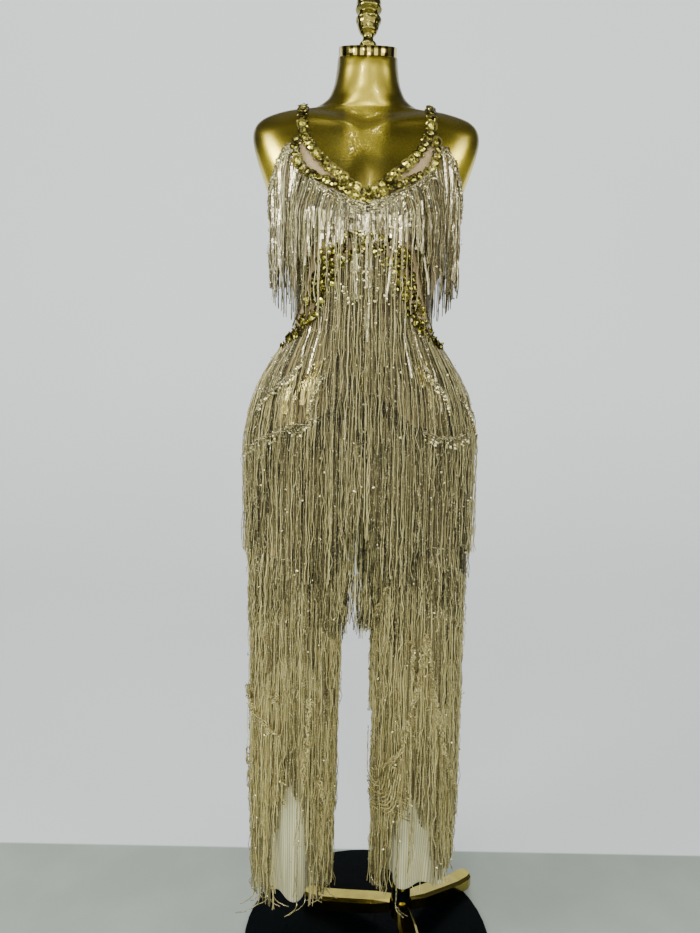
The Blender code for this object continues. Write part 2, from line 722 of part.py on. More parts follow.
def outward_along(path, surface):
    """The surface's outward direction at each point of a path, square to the path."""
    normals = [surface.normal(point) for point in path]
    found = []
    for i in range(len(path)):
        near, far = max(i - 1, 0), min(i + 1, len(path) - 1)
        ahead = (path[far] - path[near]).normalized()
        out = normals[near] + normals[i] * 2 + normals[far]
        found.append((out - ahead * out.dot(ahead)).normalized())
    return found


def build_neck_bands(surface):
    """The outer jewelled band on each side, and the inner one with the strap that goes on
    from it over the shoulder and down to the bodice's back."""
    outer = neckline_path(NECK_OUTER, 0.0068)
    strap = neckline_path(NECK_INNER, 0.0062)
    strap += [place_at(STRAP_X, z) for z in between(strap[-1].z, STRAP_TURN_Z, 8)[1:]]
    rear = [place_at(STRAP_X, z, math.pi / 2, math.pi)
            for z in between(STRAP_TURN_Z, STRAP_BACK_Z, 40)]
    for y in between(strap[-1].y, rear[0].y, 40)[1:-1]:
        strap.append(Vector((STRAP_X, y, surface.height(STRAP_X, y))))
    outer, strap = evenly(outer), evenly(strap + rear)
    for side, sign in SIDE_SIGN.items():
        for name, path in ((f"neck_band_{side}", outer), (f"strap_{side}", strap)):
            outward = mirrored(outward_along(path, surface), sign)
            band(name, mirrored(path, sign), outward, surface, "stones")


def build_waist_bands(surface):
    """The jewelled band from under the bust to the waist's side, raised stone by stone."""
    columns, rows = 2 * WAIST_BAND_STONES, 2 * WAIST_BAND_ROWS
    for side, sign in SIDE_SIGN.items():
        outer, inner = [], []
        for j in range(rows + 1):
            outer_row, inner_row = [], []
            for turn in between(WAIST_BAND[0].turn, WAIST_BAND[-1].turn, columns):
                row = smooth(WAIST_BAND, "turn", turn)
                z = row.z + row.half_height * (2 * j / rows - 1)
                angle = sign * turn_angle(turn, z)
                on_stone = len(outer_row) % 2 and j % 2
                out = WAIST_BAND_HIGH if on_stone else WAIST_BAND_LOW
                outer_row.append(surface.point(angle, z, out))
                near = WAIST_BAND_EDGE_SEAT if len(inner_row) == columns else WAIST_BAND_SEAT
                inner_row.append(surface.point(angle, z, near))
            outer.append(outer_row)
            inner.append(inner_row)
        wall(f"waist_band_{side}", outer, inner, "stones")


# ---------------------------------------------------------------- fringe


def shortfall(radius_at, start, start_z, end, end_z):
    """How far the cloth stands out of a straight line between two places on it."""
    sweep = (end - start + math.pi) % math.tau - math.pi
    first, second = radius_at(start, start_z), radius_at(end, end_z)
    most = 0.0
    for t in between(0.0, 1.0, 12)[1:-1]:
        near, far = first * math.sin(sweep * t), second * math.sin(sweep * (1 - t))
        straight = first * second * math.sin(sweep) / (near + far)
        z = (start_z * far + end_z * near) / (near + far)
        most = max(most, radius_at(start + sweep * t, z) - straight)
    return most


def hang(radius_at, edge, levels):
    """Heights and radii of a lock's edge, which lies on the cloth and hangs from its widest place.

    It stays close to the cloth where the row above covers it and stands off it below."""

    def needed(z):
        return radius_at(edge.angle, z) + LOCK_SPLAY * eased(0.0, SPLAY_RUN, edge.covered_to - z)

    heights = between(edge.root, edge.tip, levels)
    if edge.tip < edge.covered_to - SPLAY_RUN and edge.covered_to < edge.root:
        heights = [edge.root, edge.covered_to, edge.covered_to - SPLAY_RUN]
        heights += between(heights[-1], edge.tip, levels - 2)[1:]
    radii = [radius_at(edge.angle, edge.root)]
    for high, low in zip(heights, heights[1:]):
        radius = max(radii[-1], needed(low))
        for t in (0.25, 0.5, 0.75):
            straight = radii[-1] + (radius - radii[-1]) * t
            radius += max(needed(high + (low - high) * t) - straight, 0.0) / t
        radii.append(radius)
    return list(zip(heights, radii))


def fringe(name, edges, radius_at, place, levels, closed):
    """A strip with one lock below each span between two neighbouring edges.

    radius_at(angle, z) is the cloth beneath it, and place(angle, radius, z) gives a point."""
    points, faces, corners = [], [], []
    count = len(edges) if closed else len(edges) - 1

    def span_short(i, start_z, end_z):
        ends = edges[i], edges[(i + 1) % len(edges)]
        return shortfall(radius_at, ends[0].angle, start_z, ends[1].angle, end_z)

    for i, edge in enumerate(edges):
        beside = [k % len(edges) for k in (i - 1, i) if closed or 0 <= k < count]
        corner = []
        for z, layer in ((edge.root + STRIP_HEIGHT, 0), (edge.root + STRIP_HEIGHT, 1),
                         (edge.root, 1), (edge.root, 0)):
            lift = z - edge.root
            proud = max(span_short(k, edges[k].root + lift, edges[(k + 1) % len(edges)].root
                                   + lift) for k in beside)
            radius = radius_at(edge.angle, z) + STRIP_SEAT + proud + STRIP_THICK * layer
            corner.append(len(points))
            points.append(place(edge.angle, radius, z))
        corners.append(corner)
    for i in range(count):
        left, right = edges[i], edges[(i + 1) % len(edges)]
        a, b = corners[i], corners[(i + 1) % len(edges)]
        for k in (0, 1, 3):
            following = (k + 1) % 4
            faces.append((a[k], b[k], b[following], a[following]))
        # A lock grows from the strip's lower side.
        above = (a[2], b[2], b[3], a[3])
        hung = [hang(radius_at, edge, levels) for edge in (left, right)]
        for k in range(1, levels + 1):
            ends = []
            spans = [(hung[0][k - 1][0], hung[1][k - 1][0]), (hung[0][k][0], hung[1][k][0])]
            proud = max(
                span_short(i, *(high + (low - high) * t for high, low in zip(*spans)))
                for t in (0.1, 0.2, 0.35, 0.5, 0.65, 0.8, 1.0)
            )
            for edge, (z, radius) in zip((left, right), (hung[0][k], hung[1][k])):
                radius += LOCK_SEAT + proud
                if k == levels:
                    z += TIER_TIP_RAGGED * (i % 3 - 1)
                ends.append((place(edge.angle, radius, z),
                             place(edge.angle, radius + LOCK_THICK, z)))
            trim = (1 - LOCK_FILL) / 2 * (1.0 if k < levels else 1.35)
            ring = []
            for near, far, layer in ((0, 1, 1), (1, 0, 1), (1, 0, 0), (0, 1, 0)):
                ring.append(len(points))
                points.append(ends[near][layer].lerp(ends[far][layer], trim))
            for m in range(4):
                following = (m + 1) % 4
                faces.append((above[m], above[following], ring[following], ring[m]))
            above = tuple(ring)
        faces.append(above)
    if not closed:
        faces += [corners[0], corners[-1]]
    return solid_from(points, faces, name, "fringe", sharp_deg=30)


def body_fringe(surface, name, rows, first, last, count, covered_to, levels, closed=False):
    """A row of fringe round the body, between two turns. Negative turns are the wearer's right."""
    edges = []
    for turn in between(first, last, count)[: count if closed else None]:
        folded = abs(turn) if abs(turn) <= 2 else 4 - abs(turn)
        row = smooth(rows, "turn", folded)
        angle = turn_angle(folded, row.root)
        if turn < 0 or turn > 2:
            angle = -angle
        edges.append(Edge(angle, row.root, row.tip, covered_to))

    def cloth(angle, z):
        between_legs = abs(math.sin(angle)) < 0.45
        return surface.radius(angle, max(z, CROTCH_TOP_Z if between_legs else CROTCH_Z))

    def place(angle, radius, z):
        return Vector((radius * math.sin(angle), FORM_Y - radius * math.cos(angle), z))

    return fringe(name, edges, cloth, place, levels, closed)


def leg_fringe(surface, side, tier):
    """A tier of fringe round one leg."""
    sign = SIDE_SIGN[side]
    middle = (sign * leg_middle(tier.covered_to), LEG_Y)
    edges = [Edge(math.tau * (k + 0.5) / tier.locks, tier.root, tier.tip, tier.covered_to)
             for k in range(tier.locks)]

    def cloth(angle, z):
        return surface.radius(angle + math.pi / 2, max(z, HEM_Z[side] + 0.001), middle)

    def place(angle, radius, z):
        return Vector((middle[0] + radius * math.cos(angle),
                       middle[1] + radius * math.sin(angle), z))

    return fringe(f"fringe_{side}_{tier.name}", edges, cloth, place, 3, closed=True)


def build_fringe(body):
    """Every row of fringe, from the bust down to the hems."""
    front, back = 2 * HALF_BUST_LOCKS, 2 * HALF_BACK_LOCKS
    body_fringe(body, "fringe_bust", BUST_ROW, -0.994, 0.994, front, BUST_SPLAY_Z, 3)
    body_fringe(body, "fringe_back", BACK_ROW, 1.006, 2.994, back, 0.0, 3)
    body_fringe(body, "fringe_waist", WAIST_ROW, 0, 4, WAIST_LOCKS, WAIST_SPLAY_Z, 4, True)
    body_fringe(body, "fringe_hip", HIP_ROW, 0, 4, HIP_LOCKS, HIP_SPLAY_Z, 4, True)
    for side in HEM_Z:
        leg = Surface((f"leg_{side}_front", f"leg_{side}_back"))
        for tier in LEG_TIERS:
            leg_fringe(leg, side, tier)


def main():
    """Builds the whole part in an empty scene."""
    for obj in list(bpy.data.objects):
        bpy.data.objects.remove(obj)
    bpy.context.scene.collection.children.link(bpy.data.collections.new("fringed_jumpsuit"))
    build_stand()
    build_form()
    build_bodice()
    build_legs()
    legs = [f"leg_{side}_{face}" for side in SIDE_SIGN for face in ("front", "back")]
    body = Surface(["form_body", "bodice_front", "bodice_back", *legs])
    build_neck_bands(body)
    build_waist_bands(body)
    build_fringe(body)


main()
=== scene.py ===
"""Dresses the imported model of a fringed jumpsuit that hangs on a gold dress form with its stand.

Every size is in metres in the model's own frame: +Z up, the front towards -Y, the floor at z 0.
Angles run round an upright axis from the front, in degrees, and grow towards +X.
"""

import json
import logging
import math
from dataclasses import dataclass, field
from enum import Enum
from typing import Callable, Dict, Iterable, List, Optional, Sequence, Tuple, Union

import bmesh
import bpy
import numpy as np
from mathutils import Matrix, Vector, noise
from mathutils.bvhtree import BVHTree

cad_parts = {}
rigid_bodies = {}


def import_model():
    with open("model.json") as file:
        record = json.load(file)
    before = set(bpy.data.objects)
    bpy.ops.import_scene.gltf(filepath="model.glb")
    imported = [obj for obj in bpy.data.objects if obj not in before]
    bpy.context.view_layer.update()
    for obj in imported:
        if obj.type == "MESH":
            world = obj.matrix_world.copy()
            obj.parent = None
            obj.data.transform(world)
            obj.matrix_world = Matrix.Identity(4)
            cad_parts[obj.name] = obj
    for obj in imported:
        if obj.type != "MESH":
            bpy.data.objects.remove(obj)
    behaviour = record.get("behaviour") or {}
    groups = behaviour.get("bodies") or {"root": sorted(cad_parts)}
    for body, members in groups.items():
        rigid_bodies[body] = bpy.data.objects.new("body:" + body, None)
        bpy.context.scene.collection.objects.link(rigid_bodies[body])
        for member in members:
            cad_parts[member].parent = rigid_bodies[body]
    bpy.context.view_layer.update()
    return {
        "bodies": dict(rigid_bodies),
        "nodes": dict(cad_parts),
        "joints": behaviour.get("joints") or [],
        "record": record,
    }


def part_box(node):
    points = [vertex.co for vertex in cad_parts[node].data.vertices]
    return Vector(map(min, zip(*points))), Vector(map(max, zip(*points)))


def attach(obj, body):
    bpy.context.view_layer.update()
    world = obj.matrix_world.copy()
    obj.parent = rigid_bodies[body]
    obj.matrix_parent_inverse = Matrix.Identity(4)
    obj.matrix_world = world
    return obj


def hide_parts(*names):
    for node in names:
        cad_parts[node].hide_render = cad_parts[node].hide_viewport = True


LOG = logging.getLogger("jumpsuit")
Colour = Tuple[float, float, float]
Point = Tuple[float, float, float]
Piece = bpy.types.Object
Paint = bpy.types.Material
Mesh = bpy.types.Mesh
Seats = Sequence[Tuple[Vector, Vector]]  # places on a surface, each with its outward direction
Pairs = Tuple[Tuple[float, float], ...]
BODY = "root"
MIDDLE = (0.0, 0.020)  # x and y of the form's upright axis


# --- Node trees ---
def _maths(operation: str, turned: bool = False) -> Callable[..., "Value"]:
    """Makes a method that adds a Math node.

    Args:
        operation: The node's operation.
        turned: Whether the value comes last, as in 1 - mask.

    Returns:
        The method.
    """

    def method(self: "Value", *others: Union["Value", float]) -> "Value":
        """The operation on the value and the others."""
        terms = (*others, self) if turned else (self, *others)
        return self.nodes.node("ShaderNodeMath", {"operation": operation}, dict(enumerate(terms)))

    return method


class Value:
    """A socket inside a node tree, on which plain maths adds Math nodes."""

    def __init__(self, nodes: "Nodes", socket: bpy.types.NodeSocket) -> None:
        """Wraps one output socket of the tree."""
        self.nodes = nodes
        self.socket = socket

    __add__ = _maths("ADD")
    __radd__ = _maths("ADD", True)
    __sub__ = _maths("SUBTRACT")
    __rsub__ = _maths("SUBTRACT", True)
    __mul__ = _maths("MULTIPLY")
    __rmul__ = _maths("MULTIPLY", True)
    __truediv__ = _maths("DIVIDE")
    __rtruediv__ = _maths("DIVIDE", True)
    __pow__ = _maths("POWER")
    floor = _maths("FLOOR")
    sine = _maths("SINE")
    at_most = _maths("MINIMUM")
    at_least = _maths("MAXIMUM")


class Nodes:
    """Builds a node tree, of a material or of Geometry Nodes."""

    def __init__(self, tree: bpy.types.NodeTree) -> None:
        """Takes the tree that the nodes go into."""
        self.tree = tree

    def node(
        self,
        kind: str,
        settings: Optional[Dict[str, object]] = None,
        values: Optional[Dict[Union[int, str], object]] = None,
        out: Union[int, str] = 0,
    ) -> Value:
        """Adds one node.

        Args:
            kind: The node's type.
            settings: Properties of the node, set first. A ramp's stops are (place, colour) pairs.
            values: What its input sockets get, by name or number: a number, a tuple or a Value.
            out: The output that is wanted, by name or number.

        Returns:
            That output.
        """
        made = self.tree.nodes.new(kind)
        for name, setting in (settings or {}).items():
            if name == "stops":
                ramp = made.color_ramp.elements
                while len(ramp) > 1:
                    ramp.remove(ramp[-1])
                for k, (place, colour) in enumerate(setting):
                    stop = ramp[0] if k == 0 else ramp.new(place)
                    stop.position = place
                    stop.color = (*colour, 1.0)
            else:
                setattr(made, name, setting)
        for name, given in (values or {}).items():
            socket = made.inputs[name]
            if isinstance(given, Value):
                self.tree.links.new(given.socket, socket)
            else:
                socket.default_value = given
        return Value(self, made.outputs[out])

    def vector(self, operation: str, *terms: object) -> Value:
        """Adds a Vector Math node of that operation on the terms."""
        return self.node("ShaderNodeVectorMath", {"operation": operation}, dict(enumerate(terms)))

    def scaled(self, vector: Value, by: Union[Value, float]) -> Value:
        """The vector times a number."""
        return self.node("ShaderNodeVectorMath", {"operation": "SCALE"}, {0: vector, "Scale": by})

    def distance(self, first: Value, second: object) -> Value:
        """How far two places lie apart."""
        return self.node("ShaderNodeVectorMath", {"operation": "DISTANCE"}, {0: first, 1: second}, "Value")

    def joined(self, x: object = 0.0, y: object = 0.0, z: object = 0.0) -> Value:
        """A vector of three numbers."""
        return self.node("ShaderNodeCombineXYZ", None, {0: x, 1: y, 2: z})


class Finish(Nodes):
    """A material that is built as a node tree round one Principled shader."""

    def __init__(self, name: str) -> None:
        """Starts an empty material of that name."""
        self.material = bpy.data.materials.new(name)
        self.material.use_nodes = True
        super().__init__(self.material.node_tree)
        self.tree.nodes.clear()

    def place(self) -> Value:
        """The point's own coordinates on the piece, in metres."""
        return self.node("ShaderNodeTexCoord", None, None, "Object")

    def held(self, name: str) -> Value:
        """A number that the piece's mesh holds."""
        return self.node("ShaderNodeAttribute", {"attribute_name": name}, None, "Fac")

    def part_of(self, vector: Value, axis: str) -> Value:
        """One number of a vector: X, Y or Z."""
        return self.node("ShaderNodeSeparateXYZ", None, {0: vector}, axis)

    def aside(self, place: Value) -> Value:
        """How far a place lies beside the middle plane, on either side."""
        x = self.part_of(place, "X")
        return x.at_least(x * -1.0)

    def stretched(self, place: Value, across: float, along: float) -> Value:
        """A place scaled across, and differently up and down, for noise that runs along a strand."""
        return self.vector("MULTIPLY", place, (across, across, along))

    def speckle(self, vector: Value, scale: float, detail: float = 2.0) -> Value:
        """Smooth noise from 0 to 1."""
        return self.node(
            "ShaderNodeTexNoise", None, {"Vector": vector, "Scale": scale, "Detail": detail}, "Fac"
        )

    def cells(self, vector: Value, scale: float, feature: str = "F1") -> Value:
        """The distance to the nearest cell's middle, or to its edge."""
        return self.node(
            "ShaderNodeTexVoronoi", {"feature": feature}, {"Vector": vector, "Scale": scale}, "Distance"
        )

    def ramp(self, value: Value, stops: Sequence[Tuple[float, Colour]]) -> Value:
        """A colour that changes with a number."""
        return self.node("ShaderNodeValToRGB", {"stops": stops}, {0: value})

    def between(self, value: Value, low: float, high: float, start: float = 0, end: float = 1) -> Value:
        """The value carried from low…high to start…end, and held there."""
        return self.node("ShaderNodeMapRange", None, {0: value, 1: low, 2: high, 3: start, 4: end})

    def blended(self, share: Union[Value, float], first: object, second: object) -> Value:
        """A colour between two."""
        named = [c if isinstance(c, Value) else (*c, 1.0) for c in (first, second)]
        return self.node("ShaderNodeMix", {"data_type": "RGBA"}, {0: share, 6: named[0], 7: named[1]}, 2)

    def bumped(self, height: Value, strength: float, depth: float) -> Value:
        """A normal that is raised by a height."""
        return self.node("ShaderNodeBump", None, {"Strength": strength, "Distance": depth, "Height": height})

    def done(self, see_through: bool = False, **values: object) -> Paint:
        """Closes the material.

        Args:
            see_through: Whether its alpha is drawn as a mix of what lies behind.
            **values: The Principled shader's sockets, with _ for a space.

        Returns:
            The material.
        """
        sockets = {name.replace("_", " "): v for name, v in values.items()}
        for name in ("Base Color", "Specular Tint", "Sheen Tint", "Coat Tint"):
            if name in sockets and not isinstance(sockets[name], Value):
                sockets[name] = (*sockets[name], 1.0)
        shader = self.node("ShaderNodeBsdfPrincipled", None, sockets)
        output = self.tree.nodes.new("ShaderNodeOutputMaterial")
        self.tree.links.new(shader.socket, output.inputs["Surface"])
        if see_through:
            self.material.surface_render_method = "BLENDED"
        return self.material


@dataclass(frozen=True)
class Lacquer:
    """The dress form's olive-gold lacquer: fine metal flake under a clear coat, with painted shade on the
    chest and the neck's edges and a painted highlight on each shoulder.
    """

    name: str = "form_lacquer"
    deep: Colour = (0.240, 0.192, 0.018)
    bright: Colour = (0.470, 0.375, 0.036)
    roughness: float = 0.25
    # middles of the painted shade on the chest and of the painted highlight on the ball of a shoulder
    chest: Point = (0.0, -0.085, 1.295)
    shoulder: Point = (0.156, 0.0, 1.345)

    def make(self) -> Paint:
        """Returns the material."""
        f = Finish(self.name)
        place = f.place()
        cloud = f.speckle(place, 9.0, 3.0)
        flake = f.speckle(place, 2400.0, 1.0)
        colour = f.blended(f.between(cloud, 0.3, 0.7), self.deep, self.bright)
        colour = f.blended(f.between(flake, 0.35, 0.75, 0.0, 0.5), colour, self.bright)
        aside, z = f.aside(place), f.part_of(place, "Z")
        # painted shade darkens the chest and the neck's edges, and a painted highlight brightens the ball of
        # each shoulder
        chest = f.between(f.distance(place, self.chest), 0.145, 0.070)
        edge = f.between(aside, 0.026, 0.040) * f.between(z, 1.370, 1.400)
        ball = f.between(f.distance(f.joined(aside, 0.0, z), self.shoulder), 0.055, 0.015)
        colour = f.scaled(colour, (1.0 - chest * 0.70) * (1.0 - edge * 0.60) * (1.0 + ball * 0.9))
        return f.done(
            Base_Color=colour,
            Metallic=0.88,
            Roughness=f.between(flake, 0.2, 0.8, self.roughness - 0.06, self.roughness + 0.08),
            Coat_Weight=0.12,
            Coat_Roughness=0.03,
            Normal=f.bumped(flake, 0.05, 0.0004),
        )


@dataclass(frozen=True)
class Plating:
    """Polished yellow metal, with faint smears and, where it is asked for, hammer marks or a painted
    reflection in upright stripes round the cap's edge.
    """

    name: str = "polished_gold"
    colour: Colour = (0.46, 0.370, 0.085)
    roughness: float = 0.12
    hammered: float = 0.0
    painted_reflections: bool = False
    # the painted reflection's upright stripes on the cap's edge: how close they stand, and the radius outside
    # which they show
    bar_scale: float = 560.0
    bar_radius: float = 0.0470

    def make(self) -> Paint:
        """Returns the material."""
        f = Finish(self.name)
        place = f.place()
        smear = f.speckle(place, 38.0, 4.0)
        colour = f.blended(f.between(smear, 0.35, 0.75), self.colour, tuple(0.72 * c for c in self.colour))
        if self.painted_reflections:
            # painted reflection: dark and bright upright stripes round the cap's edge stand in for the room
            # mirrored in the polished band
            reflection_bars = f.between((f.part_of(place, "X") * self.bar_scale + 0.9).sine(), -0.35, 0.25)
            dark, bright = (tuple(share * c for c in self.colour) for share in (0.11, 1.5))
            off_axis = f.distance(f.stretched(place, 1.0, 0.0), (*MIDDLE, 0.0))
            edge = f.between(off_axis, self.bar_radius, self.bar_radius + 0.001)
            colour = f.blended(edge, colour, f.blended(reflection_bars, dark, bright))
        values: Dict[str, object] = {
            "Base_Color": colour,
            "Metallic": 1.0,
            "Roughness": f.between(smear, 0.25, 0.8, self.roughness * 0.7, self.roughness * 1.9),
        }
        if self.hammered:
            values["Normal"] = f.bumped(f.cells(place, 190.0), self.hammered, 0.0012)
        else:
            values["Normal"] = f.bumped(f.speckle(place, 700.0), 0.03, 0.0003)
        return f.done(**values)


@dataclass(frozen=True)
class BlackGloss:
    """The foot's black enamel, with a little dust."""

    name: str = "black_enamel"
    colour: Colour = (0.0010, 0.0024, 0.0032)

    def make(self) -> Paint:
        """Returns the material."""
        f = Finish(self.name)
        place = f.place()
        dust = f.between(f.speckle(place, 520.0, 2.0), 0.66, 0.80)
        cloud = f.speckle(place, 14.0, 3.0)
        return f.done(
            Base_Color=f.blended(dust * 0.3, self.colour, (0.05, 0.052, 0.05)),
            Roughness=f.between(cloud, 0.3, 0.7, 0.22, 0.36) + dust * 0.3,
            Specular_IOR_Level=0.02,
            Normal=f.bumped(cloud, 0.04, 0.0006),
        )


@dataclass(frozen=True)
class SheerCloth:
    """Fine nude net that the form shows through. Lower down it may turn into cream pleated net, which carries
    painted shade and highlight.
    """

    name: str = "nude_net"
    thread: Colour = (0.50, 0.375, 0.195)
    pale: Colour = (0.75, 0.73, 0.41)
    hole_alpha: float = 0.34
    pleat: float = 0.0044
    pleated_below: float = -1.0
    armhole: bool = False
    # the armhole's edge: how far aside it lies at a height, and how fast it widens below that
    armhole_x: float = 0.116
    armhole_z: float = 1.390
    armhole_slope: float = 0.40

    def make(self) -> Paint:
        """Returns the material."""
        f = Finish(self.name)
        place = f.place()
        net = f.cells(place, 760.0, "DISTANCE_TO_EDGE")
        thread = f.between(net, 0.05, 0.22, 1.0, 0.0)
        cloud = f.speckle(place, 45.0, 3.0)
        nude = f.blended(f.between(cloud, 0.3, 0.7), self.thread, tuple(1.18 * c for c in self.thread))
        alpha = f.between(thread, 0.0, 1.0, self.hole_alpha, 0.96)
        if self.armhole:
            edge = (self.armhole_z - f.part_of(place, "Z")) * self.armhole_slope + self.armhole_x
            alpha = alpha * f.between(edge - f.aside(place), 0.0, 0.0015)
        if self.pleated_below <= 0:
            return f.done(
                True,
                Base_Color=nude,
                Roughness=f.between(thread, 0.0, 1.0, 0.75, 0.55),
                Alpha=alpha,
                Normal=f.bumped(thread, 0.35, 0.0003),
            )
        height = f.part_of(place, "Z")
        low = f.between(height, self.pleated_below - 0.05, self.pleated_below + 0.04, 1.0, 0.0)
        rib = (f.held("round_m") * (2 * math.pi / self.pleat)).sine()
        pleats = f.between(rib, -1.0, 0.7) * low
        # painted shade and highlight: the cream darkens in each pleat's hollow, lightens and darkens in broad
        # upright streaks, and darkens towards +X
        cream = f.blended(f.between(rib, -1.0, 0.4), tuple(0.66 * c for c in self.pale), self.pale)
        fold_shading = f.between(f.speckle(f.stretched(place, 52.0, 6.0), 1.0, 1.0), 0.40, 0.58, 0.74, 1.12)
        shade = f.between(f.part_of(place, "X"), 0.0, 0.08, 1.0, 0.80)
        cream = f.scaled(cream, fold_shading * shade)
        alpha = alpha.at_least(low * f.between(rib, -1.0, 0.6, 0.72, 0.99))
        return f.done(
            True,
            Base_Color=f.blended(low, nude, cream),
            Roughness=0.62,
            Sheen_Weight=0.25,
            Sheen_Roughness=0.4,
            Alpha=alpha,
            Normal=f.bumped(pleats * 0.8 + thread * 0.2, 0.5, 0.0008),
        )


@dataclass(frozen=True)
class Thread:
    """Silky champagne cord. Each strand has its own depth of colour, and it is finely twisted. It is
    brightened lower down as painted light and darkened towards +X as painted shade.
    """

    name: str = "champagne_cord"
    dark: Colour = (0.060, 0.050, 0.014)
    middle: Colour = (0.255, 0.220, 0.086)
    light: Colour = (0.68, 0.61, 0.265)
    metallic: float = 0.45
    roughness: float = 0.34
    flecked: float = 0.75
    # how much brighter the strands are painted below the hips, as painted light
    lower: float = 1.28

    def make(self) -> Paint:
        """Returns the material."""
        f = Finish(self.name)
        place = f.place()
        own = f.held("strand_tint")
        along = f.speckle(f.stretched(place, 260.0, 60.0), 1.0, 2.0)
        twist = f.node(
            "ShaderNodeTexWave",
            {"wave_type": "BANDS", "bands_direction": "DIAGONAL"},
            {"Vector": place, "Scale": 260.0, "Distortion": 1.5, "Detail": 1.0},
            "Fac",
        )
        depth = own * 0.56 + along * 0.34 + twist * 0.14
        colour = f.ramp(depth, ((0.20, self.dark), (0.46, self.middle), (0.80, self.light)))
        fleck = f.between(f.speckle(place, 460.0, 0.0), 0.655, 0.70)
        colour = f.blended(fleck * self.flecked, colour, (0.98, 0.92, 0.58))
        # painted light and shade: brighter below the hips, darker towards +X, and much darker on the +X side
        # above 1.10 m
        x, z = f.part_of(place, "X"), f.part_of(place, "Z")
        lower, beside = f.between(z, 0.88, 0.70, 1.0, self.lower), f.between(x, 0.0, 0.16, 1.0, 0.86)
        colour = f.scaled(colour, lower * beside)
        shaded = f.between(x, 0.0, 0.10) * f.between(z, 1.10, 1.14)
        colour = f.blended(shaded, colour, f.vector("MULTIPLY", colour, (0.66, 0.61, 0.49)))
        rough = f.between(along, 0.25, 0.75, self.roughness - 0.10, self.roughness + 0.14)
        return f.done(
            Base_Color=colour,
            Metallic=self.metallic + fleck * 0.3,
            Roughness=rough - fleck * 0.12,
            Normal=f.bumped(twist, 0.30, 0.0004),
        )


@dataclass(frozen=True)
class Foil:
    """Shiny flat foil ribbon, silver with a breath of gold, crinkled along its length."""

    name: str = "silver_foil"
    colour: Colour = (0.94, 0.89, 0.66)
    shade: Colour = (0.36, 0.305, 0.13)

    def make(self) -> Paint:
        """Returns the material."""
        f = Finish(self.name)
        # painted shade and highlight: along its crinkles the foil turns from the darker shade colour to the
        # bright one
        crinkle = f.speckle(f.stretched(f.place(), 420.0, 95.0), 1.0, 2.0)
        return f.done(
            Base_Color=f.blended(f.between(crinkle, 0.35, 0.7), self.shade, self.colour),
            Metallic=0.95,
            Roughness=f.between(crinkle, 0.2, 0.8, 0.28, 0.10),
            Normal=f.bumped(crinkle, 0.7, 0.0010),
        )


@dataclass(frozen=True)
class CutStone:
    """Foil-backed yellow glass with its own tone in each stone, and a mottling from deep olive to lemon that
    is painted glint and shade.
    """

    name: str = "yellow_stone"
    deep: Colour = (0.028, 0.023, 0.001)
    body: Colour = (0.270, 0.222, 0.009)
    pale: Colour = (1.00, 0.92, 0.17)

    def make(self) -> Paint:
        """Returns the material."""
        f = Finish(self.name)
        place = f.place()
        # painted glints and shade: cells of near-black and lemon stand in for the facets' reflections
        fleck = f.node("ShaderNodeTexVoronoi", {"feature": "F1"}, {"Vector": place, "Scale": 330.0}, "Color")
        depth = f.part_of(fleck, "X") * 0.6 + f.held("strand_tint") * 0.4
        return f.done(
            Base_Color=f.ramp(depth, ((0.22, self.deep), (0.46, self.body), (0.74, self.pale))),
            Metallic=0.95,
            Roughness=0.09,
            Coat_Weight=0.6,
            Coat_Roughness=0.02,
        )


@dataclass(frozen=True)
class Backdrop:
    """The pale floor under the object, which turns into the even backdrop round it."""

    name: str = "pale_surround"
    floor: Colour = (0.415, 0.475, 0.412)
    wall: Colour = (0.69, 0.722, 0.730)
    glow: float = 0.50
    # y at which the floor's tone ends, and at which the backdrop's begins
    floor_reach: float = 0.226
    wall_reach: float = 0.232

    def make(self) -> Paint:
        """Returns the material."""
        f = Finish(self.name)
        place = f.place()
        far = f.between(f.part_of(place, "Y"), self.floor_reach, self.wall_reach)
        vein = f.speckle(place, 6.0, 5.0)
        floor = f.blended(
            f.between(vein, 0.45, 0.62, 0.0, 0.6), self.floor, tuple(1.14 * c for c in self.floor)
        )
        cloud = f.speckle(place, 0.8, 2.0)
        wall = f.blended(f.between(cloud, 0.3, 0.7), self.wall, tuple(0.96 * c for c in self.wall))
        return f.done(
            Base_Color=f.blended(far, floor, wall),
            Roughness=f.between(far, 0.0, 1.0, 0.45, 0.9),
            Emission_Color=f.blended(far, (0.0, 0.0, 0.0), wall),
            Emission_Strength=self.glow,
        )


